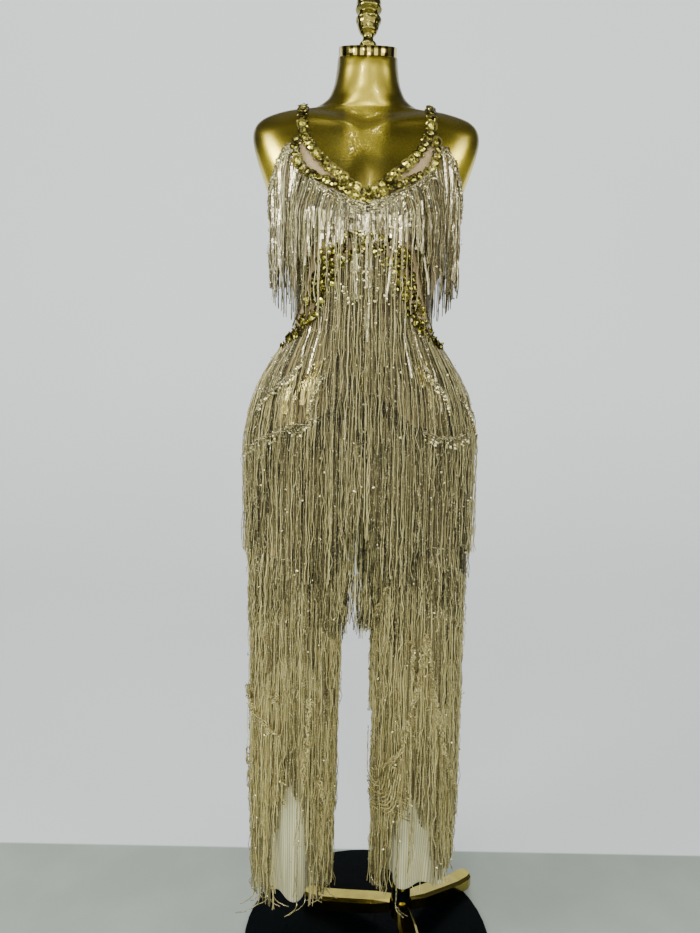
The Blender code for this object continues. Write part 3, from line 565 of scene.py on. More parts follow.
class Finishes:
    """Every material of the scene, made once."""

    def __init__(self) -> None:
        """Makes the materials."""
        self.lacquer = Lacquer().make()
        self.gold = Plating().make()
        self.hammered = Plating("hammered_gold", (0.27, 0.235, 0.058), 0.11, 0.55).make()
        self.painted_reflections = Plating("painted_reflection_gold", painted_reflections=True).make()
        self.setting = Plating("stone_setting", (0.135, 0.112, 0.026), 0.24).make()
        self.black = BlackGloss().make()
        self.net = SheerCloth(armhole=True).make()
        leg_net = SheerCloth("leg_net", (0.43, 0.355, 0.145), hole_alpha=0.60, pleated_below=0.33)
        self.leg_cloth = leg_net.make()
        self.cord = Thread().make()
        # The shaded cords below are darker copies of the cords: painted shade for the deep layers that hang
        # next to the cloth.
        self.cord_shade = Thread(
            "shaded_cord", (0.008, 0.006, 0.002), (0.036, 0.030, 0.010), (0.12, 0.104, 0.040), 0.35, 0.45, 0.3
        ).make()
        self.silver = Thread(
            "silver_cord", (0.058, 0.050, 0.018), (0.300, 0.272, 0.124), (0.80, 0.76, 0.45), 0.60, 0.27
        ).make()
        self.silver_shade = Thread(
            "shaded_silver_cord", (0.018, 0.015, 0.006), (0.105, 0.091, 0.040), (
                0.30, 0.27, 0.14
            ), 0.50, 0.38, 0.3
        ).make()
        self.straw = Thread(
            "straw_cord", (0.100, 0.082, 0.023), (0.375, 0.320, 0.117), (0.74, 0.665, 0.290), 0.30, 0.38
        ).make()
        self.straw_shade = Thread(
            "shaded_straw_cord", (0.028, 0.023, 0.007), (0.125, 0.105, 0.040), (
                0.28, 0.245, 0.115
            ), 0.25, 0.48, 0.3
        ).make()
        self.foil = Foil().make()
        self.satin = Foil("pale_satin", (0.78, 0.68, 0.26), (0.40, 0.34, 0.10)).make()
        self.sequin = Foil("sequin_foil", (0.98, 0.92, 0.62), (0.66, 0.57, 0.22)).make()
        self.braid = Thread(
            "heading_braid", (0.060, 0.049, 0.014), (0.27, 0.235, 0.095), (0.74, 0.69, 0.40), 0.60, 0.27
        ).make()
        self.stone = CutStone().make()
        self.cove = Backdrop().make()


# --- Meshes ---
def linked(name: str, mesh: Mesh) -> Piece:
    """Puts a mesh into the scene as an object of that name, and returns the object."""
    made = bpy.data.objects.new(name, mesh)
    bpy.context.scene.collection.objects.link(made)
    return made


def settled(made: Piece) -> Piece:
    """Applies the object's modifiers, so that its mesh is plain, and returns the object."""
    graph = bpy.context.evaluated_depsgraph_get()
    graph.update()
    plain = bpy.data.meshes.new_from_object(made.evaluated_get(graph), depsgraph=graph)
    old = made.data
    made.modifiers.clear()
    made.data = plain
    if old.users == 0:
        bpy.data.meshes.remove(old)
    return made


def welded(pieces: Sequence[Piece], name: str) -> Piece:
    """Joins objects into the first one.

    Args:
        pieces: The objects. All but the first are used up.
        name: The joined object's name.

    Returns:
        The joined object.
    """
    first = pieces[0]
    if len(pieces) > 1:
        with bpy.context.temp_override(
            active_object=first, object=first, selected_objects=list(pieces),
            selected_editable_objects=list(pieces),
        ):
            bpy.ops.object.join()
    first.name = name
    first.data.name = name
    return first


def grid_mesh(name: str, points: np.ndarray, with_uv: bool = True) -> Mesh:
    """A sheet of quads.

    Args:
        name: The mesh's name.
        points: rows x columns x 3 places.
        with_uv: Whether it gets a UV map with u along the columns and v along the rows.

    Returns:
        The mesh.
    """
    rows, columns = points.shape[:2]
    faces = [
        (i * columns + j, i * columns + j + 1, (i + 1) * columns + j + 1, (i + 1) * columns + j)
        for i in range(rows - 1)
        for j in range(columns - 1)
    ]
    mesh = bpy.data.meshes.new(name)
    mesh.from_pydata(points.reshape(-1, 3).tolist(), [], faces)
    if with_uv:
        layer = mesh.uv_layers.new(name="UVMap")
        u, v = np.meshgrid(np.linspace(0, 1, columns), np.linspace(0, 1, rows))
        uv = np.stack([u, v], -1).reshape(-1, 2)
        corner = np.empty(len(mesh.loops), np.int32)
        mesh.loops.foreach_get("vertex_index", corner)
        layer.data.foreach_set("uv", uv[corner].astype(np.float32).ravel())
    mesh.update()
    return mesh


def refined(node: Piece, name: str, levels: int) -> Piece:
    """A smoother copy of a CAD node: merged, turned to quads and subdivided.

    Args:
        node: The CAD node.
        name: The new piece's name.
        levels: How many times it is subdivided.

    Returns:
        The piece.
    """
    work = bmesh.new()
    work.from_mesh(node.data)
    bmesh.ops.remove_doubles(work, verts=work.verts, dist=2e-5)
    bmesh.ops.join_triangles(
        work, faces=work.faces, angle_face_threshold=math.radians(50),
        angle_shape_threshold=math.radians(60), cmp_seam=False, cmp_sharp=False, cmp_uvs=False,
    )
    mesh = bpy.data.meshes.new(name)
    work.to_mesh(mesh)
    work.free()
    made = linked(name, mesh)
    if levels:
        smoother = made.modifiers.new("smoother", "SUBSURF")
        smoother.levels = smoother.render_levels = levels
        settled(made)
    made.data.materials.clear()
    made.data.polygons.foreach_set("use_smooth", [True] * len(made.data.polygons))
    return made


def vertices(mesh: Mesh) -> np.ndarray:
    """A mesh's points."""
    held = np.empty(len(mesh.vertices) * 3, np.float32)
    mesh.vertices.foreach_get("co", held)
    return held.reshape(-1, 3).astype(float)


def move_vertices(mesh: Mesh, points: np.ndarray) -> None:
    """Gives a mesh's points new places."""
    mesh.vertices.foreach_set("co", points.astype(np.float32).ravel())
    mesh.update()


def turned_mesh(
    name: str, profile: Sequence[Tuple[float, float]], middle: Tuple[float, float], sides: int
) -> Mesh:
    """A closed solid of revolution about an upright axis.

    Args:
        name: The mesh's name.
        profile: (radius, height) from the foot's middle up to the top's middle.
        middle: The axis's x and y.
        sides: How many sides it has.

    Returns:
        The mesh.
    """
    work = bmesh.new()
    rings: List[List[bmesh.types.BMVert]] = []
    for radius, z in profile:
        if radius < 1e-6:
            rings.append([work.verts.new((*middle, z))])
            continue
        turns = [2 * math.pi * k / sides for k in range(sides)]
        x, y = middle
        rings.append([work.verts.new((x + radius * math.cos(t), y + radius * math.sin(t), z)) for t in turns])
    for lower, upper in zip(rings, rings[1:]):
        for k in range(sides):
            n = (k + 1) % sides
            if len(lower) == 1:
                work.faces.new((lower[0], upper[n], upper[k]))
            elif len(upper) == 1:
                work.faces.new((lower[k], lower[n], upper[0]))
            else:
                work.faces.new((lower[k], lower[n], upper[n], upper[k]))
    mesh = bpy.data.meshes.new(name)
    work.to_mesh(mesh)
    work.free()
    mesh.polygons.foreach_set("use_smooth", [True] * len(mesh.polygons))
    return mesh


class Outside:
    """The outside of a set of CAD nodes, found by looking in from around them."""

    FAR = 0.45
    AHEAD = -0.4  # y from which the front is looked at
    BESIDE = 0.35  # degrees to either side of an angle that are looked at too

    def __init__(self, nodes: Iterable[Piece], axis: Tuple[float, float]) -> None:
        """Takes the nodes and the upright axis that they stand round."""
        points: List[Tuple[float, ...]] = []
        faces: List[Tuple[int, ...]] = []
        for node in nodes:
            start = len(points)
            points.extend(tuple(v.co) for v in node.data.vertices)
            faces.extend(tuple(start + k for k in p.vertices) for p in node.data.polygons)
        self.tree = BVHTree.FromPolygons(points, faces)
        self.axis = axis

    def radius(self, angle: float, z: float) -> float:
        """How far from the axis the outside lies at that angle and height, or 0 where there is none."""
        found = 0.0
        for aside in (-self.BESIDE, self.BESIDE):
            turn = math.radians(angle + aside)
            out = Vector((math.sin(turn), -math.cos(turn), 0))
            start = Vector((*self.axis, z)) + out * self.FAR
            hit = self.tree.ray_cast(start, -out, self.FAR)[0]
            if hit is not None:
                found = max(found, self.FAR - (hit - start).length)
        return found

    def seat(self, start: Point, towards: Point) -> Tuple[Vector, Vector]:
        """Where a ray meets the outside, and the outward direction there."""
        hit, normal, _, _ = self.tree.ray_cast(Vector(start), Vector(towards).normalized(), 2.0)
        if hit is None:
            hit, normal, _, _ = self.tree.find_nearest(Vector(start))
        if normal.dot(Vector(towards)) > 0:
            normal = -normal
        return hit, normal

    def front(self, x: float, z: float) -> Tuple[Vector, Vector]:
        """Where the front lies at x and z, and the level direction away from the axis there."""
        hit, _ = self.seat((x, self.AHEAD, z), (0, 1, 0))
        return hit, Vector((hit.x - self.axis[0], hit.y - self.axis[1], 0)).normalized()


# --- Geometry Nodes ---
class StrandKind(Enum):
    """The strands' section."""

    CORD = "cord"
    RIBBON = "ribbon"


class Scattered(Enum):
    """What is set on points."""

    STONE = "stone"
    SETTING = "setting"
    SEQUIN = "sequin"


class Maker(Nodes):
    """A Geometry Nodes tree with named inputs, which is run on a mesh and leaves a plain mesh."""

    def __init__(self, name: str, inputs: Sequence[Tuple[str, str, object]]) -> None:
        """Starts a tree.

        Args:
            name: The tree's name.
            inputs: (name, socket type, first value) of each input after the geometry.
        """
        tree = bpy.data.node_groups.new(name, "GeometryNodeTree")
        super().__init__(tree)
        tree.interface.new_socket("Geometry", in_out="INPUT", socket_type="NodeSocketGeometry")
        self.named: Dict[str, str] = {}
        for label, kind, first in inputs:
            item = tree.interface.new_socket(label, in_out="INPUT", socket_type=kind)
            if first is not None:
                item.default_value = first
            self.named[label] = item.identifier
        tree.interface.new_socket("Geometry", in_out="OUTPUT", socket_type="NodeSocketGeometry")
        self.start = tree.nodes.new("NodeGroupInput")

    def given(self, label: str) -> Value:
        """One of the tree's inputs."""
        return Value(self, self.start.outputs[label])

    def chance(self, low: float, high: float, number: Value, shift: int) -> Value:
        """A random number for each count, from the tree's own seed."""
        return self.node(
            "FunctionNodeRandomValue",
            {"data_type": "FLOAT"},
            {2: low, 3: high, 7: number, 8: self.given("Seed") + shift},
            1,
        )

    def tinted(self, geometry: Value, tint: Value, domain: str = "POINT") -> Value:
        """The geometry, with the number that its finish reads as each strand's or stone's own tint."""
        return self.node(
            "GeometryNodeStoreNamedAttribute", {"data_type": "FLOAT", "domain": domain},
            {"Geometry": geometry, "Name": "strand_tint", "Value": tint},
        )

    def cord_section(self) -> Value:
        """A cord's three-sided section, from the tree's width."""
        return self.node(
            "GeometryNodeCurvePrimitiveCircle", {"mode": "RADIUS"},
            {"Resolution": 3, "Radius": self.given("Width") * 0.56},
        )

    def close(self, geometry: Value) -> None:
        """Ends the tree in Realize Instances and Set Material."""
        real = self.node("GeometryNodeRealizeInstances", None, {0: geometry})
        painted = self.node(
            "GeometryNodeSetMaterial", None, {"Geometry": real, "Material": self.given("Material")}
        )
        end = self.tree.nodes.new("NodeGroupOutput")
        self.tree.links.new(painted.socket, end.inputs[0])

    def run(self, mesh: Mesh, name: str, **sizes: object) -> Piece:
        """Runs the tree on a mesh.

        Args:
            mesh: What it works on. It is used up.
            name: The made object's name.
            **sizes: The inputs' values, with _ for a space.

        Returns:
            The object, with a plain mesh.
        """
        made = linked(name, mesh)
        worker = made.modifiers.new("maker", "NODES")
        worker.node_group = self.tree
        for label, given in sizes.items():
            worker[self.named[label.replace("_", " ")]] = given
        return settled(made)


class StrandMaker(Maker):
    """Hangs strands on a curtain: a sheet whose v runs down from the heading to the tips."""

    def __init__(self, kind: StrandKind) -> None:
        """Builds the tree for one kind of strand."""
        whole, number, paint = "NodeSocketInt", "NodeSocketFloat", "NodeSocketMaterial"
        super().__init__(
            f"hanging_{kind.value}s",
            (
                ("Strands", whole, 100), ("Levels", whole, 12), ("Width", number, 0.0017),
                ("Waviness", number, 0.0015), ("Turns", number, 3.0), ("Ragged", number, 0.15),
                ("Clumps", whole, 30), ("Clumping", number, 0.4), ("Depth", number, 0.003),
                ("Seed", whole, 1), ("Material", paint, None),
            ),
        )
        levels = self.given("Levels")
        line = self.node("GeometryNodeCurvePrimitiveLine", None, {0: (0, 0, 0), 1: (0, 0, -1)})
        line = self.node("GeometryNodeResampleCurve", {"mode": "COUNT"}, {"Curve": line, "Count": levels})
        dots = self.node("GeometryNodePoints", None, {0: self.given("Strands")})
        many = self.node("GeometryNodeInstanceOnPoints", None, {"Points": dots, "Instance": line})
        curves = self.node("GeometryNodeRealizeInstances", None, {0: many})
        index = self.node("GeometryNodeInputIndex")
        strand = ((index + 0.5) / levels).floor()
        down = (index - strand * levels) / (levels - 1.0)
        short = self.chance(0.0, 1.0, strand, 1)
        length = 1.0 - self.given("Ragged") * short * short
        v = down * length
        u = (strand + self.chance(0.05, 0.95, strand, 2)) / self.given("Strands")
        clumps = self.given("Clumps")
        bunch = (u * clumps).floor()
        middle = (bunch + self.chance(0.3, 0.7, bunch, 3)) / clumps
        gather = self.given("Clumping") * self.chance(0.2, 1.0, bunch, 4) * (down ** 0.8)
        u = u + (middle - u) * gather
        where = self.joined(u.at_least(0.0005).at_most(0.9995), v.at_least(0.0005).at_most(0.9995))
        uv = self.node("GeometryNodeInputNamedAttribute", {"data_type": "FLOAT_VECTOR"}, {0: "UVMap"})
        curtain = self.given("Geometry")
        place, outward = (
            self.node(
                "GeometryNodeSampleUVSurface",
                {"data_type": "FLOAT_VECTOR"},
                {0: curtain, 1: self.node(what), 2: uv, 3: where},
            )
            for what in ("GeometryNodeInputPosition", "GeometryNodeInputNormal")
        )
        drift = self.node(
            "ShaderNodeTexNoise",
            {"noise_dimensions": "3D"},
            {
                "Vector": self.joined(strand * 7.31 + self.given("Seed") * 3.7, v * self.given("Turns"), 0.0),
                "Scale": 1.0, "Detail": 1.0,
            },
            "Color",
        )
        drift = self.vector("SUBTRACT", drift, (0.5, 0.5, 0.5))
        drift = self.vector("MULTIPLY", drift, (2.0, 2.0, 0.4))
        drift = self.scaled(drift, self.given("Waviness") * (down ** 0.7) * 2.0)
        depth = self.chance(0.0, 1.0, strand, 5) * self.given("Depth")
        place = self.vector("ADD", place, drift)
        place = self.vector("ADD", place, self.scaled(outward, depth))
        curves = self.node("GeometryNodeSetPosition", None, {"Geometry": curves, "Position": place})
        if kind is StrandKind.RIBBON:
            curves = self.node(
                "GeometryNodeSetCurveNormal", {"mode": "FREE"}, {"Curve": curves, "Normal": outward}
            )
            section = self.node(
                "GeometryNodeCurvePrimitiveQuadrilateral", {"mode": "RECTANGLE"},
                {0: self.given("Width") * 0.16, 1: self.given("Width")},
            )
        else:
            section = self.cord_section()
        curves = self.tinted(curves, self.chance(0.0, 1.0, strand, 6))
        solid = self.node(
            "GeometryNodeCurveToMesh", None,
            {0: curves, 1: section, "Scale": self.chance(0.75, 1.15, strand, 7), "Fill Caps": True},
        )
        solid = self.node("GeometryNodeSetShadeSmooth", None, {0: solid, 2: kind is StrandKind.CORD})
        self.close(solid)


class CrinkleMaker(Maker):
    """Runs crinkled cord along a path, as a gathered heading or a curled end."""

    def __init__(self) -> None:
        """Builds the tree."""
        whole, number = "NodeSocketInt", "NodeSocketFloat"
        super().__init__(
            "crinkled_cord",
            (
                ("Step", number, 0.0016), ("Width", number, 0.0015), ("Crinkle", number, 0.003),
                ("Fineness", number, 260.0), ("Seed", whole, 1), ("Material", "NodeSocketMaterial", None),
            ),
        )
        line = self.node("GeometryNodeMeshToCurve", None, {0: self.given("Geometry")})
        line = self.node(
            "GeometryNodeResampleCurve", {"mode": "LENGTH"}, {"Curve": line, "Length": self.given("Step")}
        )
        place = self.node("GeometryNodeInputPosition")
        shift = self.joined(self.given("Seed") * 0.137, self.given("Seed") * 0.071, 0.0)
        drift = self.node(
            "ShaderNodeTexNoise", {"noise_dimensions": "3D"},
            {
                "Vector": self.scaled(self.vector("ADD", place, shift), self.given("Fineness")),
                "Scale": 1.0, "Detail": 1.5,
            },
            "Color",
        )
        drift = self.scaled(self.vector("SUBTRACT", drift, (0.5, 0.5, 0.5)), self.given("Crinkle") * 3.2)
        line = self.node("GeometryNodeSetPosition", None, {"Geometry": line, "Offset": drift})
        tint = self.chance(0.0, 1.0, (self.node("GeometryNodeInputIndex") / 9.0).floor(), 2)
        line = self.tinted(line, tint)
        solid = self.node(
            "GeometryNodeCurveToMesh", None, {0: line, 1: self.cord_section(), "Fill Caps": True}
        )
        self.close(self.node("GeometryNodeSetShadeSmooth", None, {0: solid, 2: True}))


class ScatterMaker(Maker):
    """Sets stones, their settings or sequins on points that know which way is outward."""

    def __init__(self, kind: Scattered) -> None:
        """Builds the tree for one kind of thing."""
        number = "NodeSocketFloat"
        super().__init__(
            f"scattered_{kind.value}s",
            (
                ("Size", number, 0.010), ("Unevenness", number, 0.15), ("Tilt", number, 0.25),
                ("Seed", "NodeSocketInt", 1), ("Material", "NodeSocketMaterial", None),
            ),
        )
        if kind is Scattered.STONE:
            lower = self._frustum(9, 1.0, 0.80, 0.26, 0.10)
            upper = self._frustum(9, 0.80, 0.42, 0.20, 0.36)
            thing = self._together(lower, upper)
        elif kind is Scattered.SETTING:
            thing = self._frustum(11, 1.04, 1.20, 0.26, 0.0)
        else:
            thing = self._frustum(6, 1.0, 0.30, 0.22, 0.05)
        half = self.given("Size") * 0.5
        index = self.node("GeometryNodeInputIndex")
        outward = self.node("GeometryNodeInputNamedAttribute", {"data_type": "FLOAT_VECTOR"}, {0: "outward"})
        facing = self.node("FunctionNodeAlignRotationToVector", {"axis": "Z"}, {"Vector": outward})
        tilt = self.given("Tilt")
        lean = self.joined(
            self.chance(-1.0, 1.0, index, 1) * tilt, self.chance(-1.0, 1.0, index, 2) * tilt,
            self.chance(0.0, 6.28, index, 3),
        )
        lean = self.node("FunctionNodeEulerToRotation", None, {0: lean})
        facing = self.node("FunctionNodeRotateRotation", {"rotation_space": "LOCAL"}, {0: facing, 1: lean})
        size = half * (1.0 + self.chance(-1.0, 1.0, index, 4) * self.given("Unevenness"))
        dots = self.node("GeometryNodeMeshToPoints", None, {0: self.given("Geometry")})
        many = self.node(
            "GeometryNodeInstanceOnPoints", None,
            {"Points": dots, "Instance": thing, "Rotation": facing, "Scale": self.joined(size, size, size)},
        )
        self.close(self.tinted(many, self.chance(0.0, 1.0, index, 5), "INSTANCE"))

    def _frustum(self, sides: int, low: float, high: float, tall: float, lift: float) -> Value:
        """A cut cone with flat facets, from lift up."""
        cone = self.node(
            "GeometryNodeMeshCone", {"fill_type": "NGON"},
            {"Vertices": sides, "Radius Top": high, "Radius Bottom": low, "Depth": tall},
        )
        cone = self.node("GeometryNodeTransform", None, {"Geometry": cone, "Translation": (0, 0, lift)})
        return self.node("GeometryNodeSetShadeSmooth", None, {0: cone, 2: False})

    def _together(self, *parts: Value) -> Value:
        """Several geometries as one."""
        join = self.tree.nodes.new("GeometryNodeJoinGeometry")
        for part in parts:
            self.tree.links.new(part.socket, join.inputs[0])
        return Value(self, join.outputs[0])


class Workshop:
    """The trees and finishes that every sub-assembly works with."""

    def __init__(self, frame: Dict[str, object]) -> None:
        """Takes the loaded frame, and makes the finishes and the trees."""
        self.nodes: Dict[str, Piece] = dict(frame["nodes"])
        self.finish = Finishes()
        self.strands = {kind: StrandMaker(kind) for kind in StrandKind}
        self.scatter = {kind: ScatterMaker(kind) for kind in Scattered}
        self.crinkle = CrinkleMaker()

    def kept(self, piece: Piece, slot: str, *nodes: str) -> Piece:
        """Args:
            piece: The piece.
            slot: A material slot of the record. It is not used.
            *nodes: The CAD nodes that it stands for.

        Returns:
            The piece.
        """
        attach(piece, BODY)
        if nodes:
            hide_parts(*nodes)
        LOG.info("%s: %d faces", piece.name, len(piece.data.polygons))
        return piece

    def dotted(self, name: str, points: Sequence[Vector], outward: Sequence[Vector]) -> Mesh:
        """A mesh of loose points, each with its outward direction."""
        mesh = bpy.data.meshes.new(name)
        mesh.from_pydata([tuple(p) for p in points], [], [])
        held = mesh.attributes.new("outward", "FLOAT_VECTOR", "POINT")
        held.data.foreach_set("vector", np.array([tuple(n) for n in outward], np.float32).ravel())
        return mesh

    def jewels(
        self, name: str, points: Sequence[Vector], outward: Sequence[Vector], size: float,
        unevenness: float, tilt: float, seed: int,
    ) -> List[Piece]:
        """Stones in their settings on points.

        Args:
            name: What their objects are called.
            points: Where they sit.
            outward: Which way each faces.
            size: A stone's width.
            unevenness: How far their sizes differ, as a share.
            tilt: How far they lean, in radians.
            seed: The seed of what is random.

        Returns:
            The stones' object and the settings' object.
        """
        made = []
        for kind, paint in ((Scattered.STONE, self.finish.stone), (Scattered.SETTING, self.finish.setting)):
            made.append(
                self.scatter[kind].run(
                    self.dotted(name, points, outward), f"{name}_{kind.value}", Size=size,
                    Unevenness=unevenness, Tilt=tilt, Seed=seed, Material=paint,
                )
            )
        return made

    def sequins(
        self, name: str, points: Sequence[Vector], outward: Sequence[Vector], size: float, seed: int
    ) -> Piece:
        """Small tilted sequins on points, as one object."""
        return self.scatter[Scattered.SEQUIN].run(
            self.dotted(name, points, outward), name, Size=size, Unevenness=0.35, Tilt=0.9,
            Seed=seed, Material=self.finish.sequin,
        )


# --- Stand and form ---
@dataclass(frozen=True)
class TiltedTop:
    """The slant of the neck's cut top, lower in front."""

    middle_y: float = MIDDLE[1]
    start_z: float = 1.500
    top_z: float = 1.5465
    degrees: float = 25.0

    def tilted(self, points: np.ndarray) -> np.ndarray:
        """The points, raised behind and lowered in front towards the top."""
        share = np.clip((points[:, 2] - self.start_z) / (self.top_z - self.start_z), 0, 1)
        moved = points.copy()
        moved[:, 2] += (points[:, 1] - self.middle_y) * math.tan(math.radians(self.degrees)) * share**1.5
        return moved


@dataclass
class Stand:
    """Disc, arms and pole as CAD nodes in their metal, and a slanting cap with a hammered finial."""

    gold_nodes: Tuple[str, ...] = (
        "base_hub", "pole_collar", "pole", "base_arm_front", "base_arm_left", "base_arm_right",
    )
    black_nodes: Tuple[str, ...] = ("base_disc", "hub_band")
    # height and radius of the finial, from its foot up
    finial_profile: Pairs = (
        (1.5500, 0.0138), (1.5655, 0.0148), (1.5672, 0.0140), (1.5690, 0.0098), (1.5765, 0.0088),
        (1.5805, 0.0098), (1.5850, 0.0142), (1.5930, 0.0178), (1.6005, 0.0198), (1.6030, 0.0216),
        (1.6058, 0.0216), (1.6085, 0.0196), (1.6125, 0.0172), (1.6150, 0.0160), (1.6170, 0.0178),
        (1.6195, 0.0218), (1.6225, 0.0220), (1.6250, 0.0204), (1.6310, 0.0208), (1.6390, 0.0196),
        (1.6465, 0.0160), (1.6520, 0.0098), (1.6545, 0.0030),
    )
    finial_sides: int = 72
    hammer_pitch: float = 0.0075
    hammer_depth: float = 0.0007

    def dress(self, shop: Workshop) -> None:
        """Paints the CAD nodes, and makes the cap and the finial."""
        for names, paint in ((self.gold_nodes, shop.finish.gold), (self.black_nodes, shop.finish.black)):
            for name in names:
                for slot in shop.nodes[name].material_slots:
                    slot.material = paint
                LOG.info("%s: painted %s", name, paint.name)
        shop.kept(self.cap(shop), "stand_gold", "neck_cap")
        shop.kept(self.finial(shop), "stand_gold", "finial")

    def cap(self, shop: Workshop) -> Piece:
        """The neck's polished cap: a flat band with softened edges, on the slant."""
        low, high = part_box("neck_cap")
        radius = (high[0] - low[0]) / 2
        middle = ((low[0] + high[0]) / 2, (low[1] + high[1]) / 2)
        profile = [
            (0.0, low[2] - 0.0015), (radius - 0.0016, low[2] - 0.0015), (radius - 0.0004, low[2] - 0.001),
            (radius, low[2] + 0.0002),
            (radius, high[2] - 0.0018), (radius - 0.0004, high[2] - 0.0005), (radius - 0.0016, high[2]),
            (0.0, high[2]),
        ]
        mesh = turned_mesh("neck_cap_band", profile, middle, 96)
        points = TiltedTop().tilted(vertices(mesh))
        move_vertices(mesh, points)
        piece = linked("neck_cap_band", mesh)
        piece.data.materials.append(shop.finish.painted_reflections)
        return piece

    def finial(self, shop: Workshop) -> Piece:
        """The two-lobed finial, dimpled all over as if hammered."""
        low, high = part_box("finial")
        middle = ((low[0] + high[0]) / 2, (low[1] + high[1]) / 2)
        known = np.array(self.finial_profile)
        heights = np.linspace(known[0, 0], known[-1, 0], 110)
        rings = [(float(np.interp(z, known[:, 0], known[:, 1])), float(z)) for z in heights]
        mesh = turned_mesh(
            "hammered_finial", [(0.0, rings[0][1]), *rings, (0.0, rings[-1][1] + 0.0004)], middle,
            self.finial_sides
        )
        points = vertices(mesh)
        for k, p in enumerate(points.copy()):
            if 1.5865 < p[2] < 1.6525:
                near = noise.voronoi(Vector(p) / self.hammer_pitch)[0][0]
                out = np.array([p[0] - middle[0], p[1] - middle[1], 0.0])
                points[k] = p - out / max(np.linalg.norm(out), 1e-6) * self.hammer_depth * (near * 1.6 - 0.4)
        move_vertices(mesh, points)
        piece = linked("hammered_finial", mesh)
        piece.data.materials.append(shop.finish.hammered)
        return piece


@dataclass
class DressForm:
    """The limbless form: the CAD shape smoothed, with collar bones, a throat notch and a cleft."""

    middle_y: float = MIDDLE[1]
    levels: int = 2
    neck_widened: float = 0.055
    # where the CAD's heights near the shoulders go, so that the neck runs into flat shoulders
    settle: Pairs = (
        (1.400, 1.400), (1.430, 1.4285), (1.443, 1.4405), (1.450, 1.4472), (1.455, 1.4500),
        (1.461, 1.4535), (1.472, 1.4640), (1.487, 1.4760), (1.506, 1.4960), (1.528, 1.5210), (1.5465, 1.5465),
    )
    # x, z, reach across, reach up, turn in degrees, and how far it stands out
    swells: Tuple[Tuple[float, float, float, float, float, float], ...] = (
        (0.050, 1.4225, 0.046, 0.0075, 12.0, 0.0042),
        (0.118, 1.424, 0.030, 0.0110, -14.0, 0.0026),
        (0.000, 1.418, 0.013, 0.0120, 0.0, -0.0060),
        (0.052, 1.4400, 0.040, 0.0070, 12.0, -0.0030),
        (0.075, 1.395, 0.030, 0.0180, 0.0, -0.0014),
        (0.000, 1.290, 0.011, 0.0360, 0.0, -0.0050),
        (0.000, 1.262, 0.014, 0.0400, 0.0, -0.0040),
    )

    def dress(self, shop: Workshop) -> Piece:
        """Makes the form and hands it over."""
        piece = refined(shop.nodes["form_body"], "dress_form", self.levels)
        points = vertices(piece.data)
        front = points[:, 1] < self.middle_y
        widen = 1 + self.neck_widened * np.clip((points[:, 2] - 1.478) / 0.045, 0, 1)
        points[:, 0] *= widen
        points[:, 1] = self.middle_y + (points[:, 1] - self.middle_y) * widen
        known = np.array(self.settle)
        high = points[:, 2] > known[0, 0]
        points[high, 2] = np.interp(points[high, 2], known[:, 0], known[:, 1])
        for x, z, across, up, turn, stands in self.swells:
            for side in (1, -1) if x else (1,):
                c, s = math.cos(math.radians(turn * side)), math.sin(math.radians(turn * side))
                dx, dz = points[:, 0] - x * side, points[:, 2] - z
                a, b = (dx * c + dz * s) / across, (dz * c - dx * s) / up
                points[:, 1] -= np.where(front, stands * np.exp(-(a * a + b * b) / 2), 0.0)
        move_vertices(piece.data, TiltedTop().tilted(points))
        piece.data.materials.append(shop.finish.lacquer)
        return shop.kept(piece, "form_gold", "form_body")


# --- Cloth ---
@dataclass
class Panels:
    """The sheer cloth: a front and a back of the bodice, and two panels to each leg."""

    body_axis: Tuple[float, float] = MIDDLE
    leg_axis: Tuple[float, float] = (0.094, 0.022)
    levels: int = 2
    # not used: a cut would be given as a rectangle, the panel's mean width (not its greatest) times this, by
    # its height with this much more
    width_factor: float = 1.06
    length_spare: float = 0.01

    def _measured(self, piece: Piece, axis: Tuple[float, float]) -> None:
        """Stores how far round the axis each point lies, in metres, for the pleats."""
        points = vertices(piece.data)
        x, y = points[:, 0] - axis[0], points[:, 1] - axis[1]
        spread = float(np.median(np.hypot(x, y)))
        held = piece.data.attributes.new("round_m", "FLOAT", "POINT")
        held.data.foreach_set("value", (np.arctan2(x, -y) * spread).astype(np.float32))

    def dress(self, shop: Workshop, form: Piece) -> None:
        """Makes the panels, and hands each over in place of its CAD node."""
        made = [(name, shop.finish.net, self.body_axis) for name in ("bodice_front", "bodice_back")]
        for side, sign in (("left", 1), ("right", -1)):
            axis = (self.leg_axis[0] * sign, self.leg_axis[1])
            made += [(f"leg_{side}_{half}", shop.finish.leg_cloth, axis) for half in ("front", "back")]
        for name, paint, axis in made:
            piece = refined(shop.nodes[name], f"{name}_net", self.levels)
            piece.data.materials.append(paint)
            self._measured(piece, axis)
            shop.kept(piece, "sheer_cloth", name)


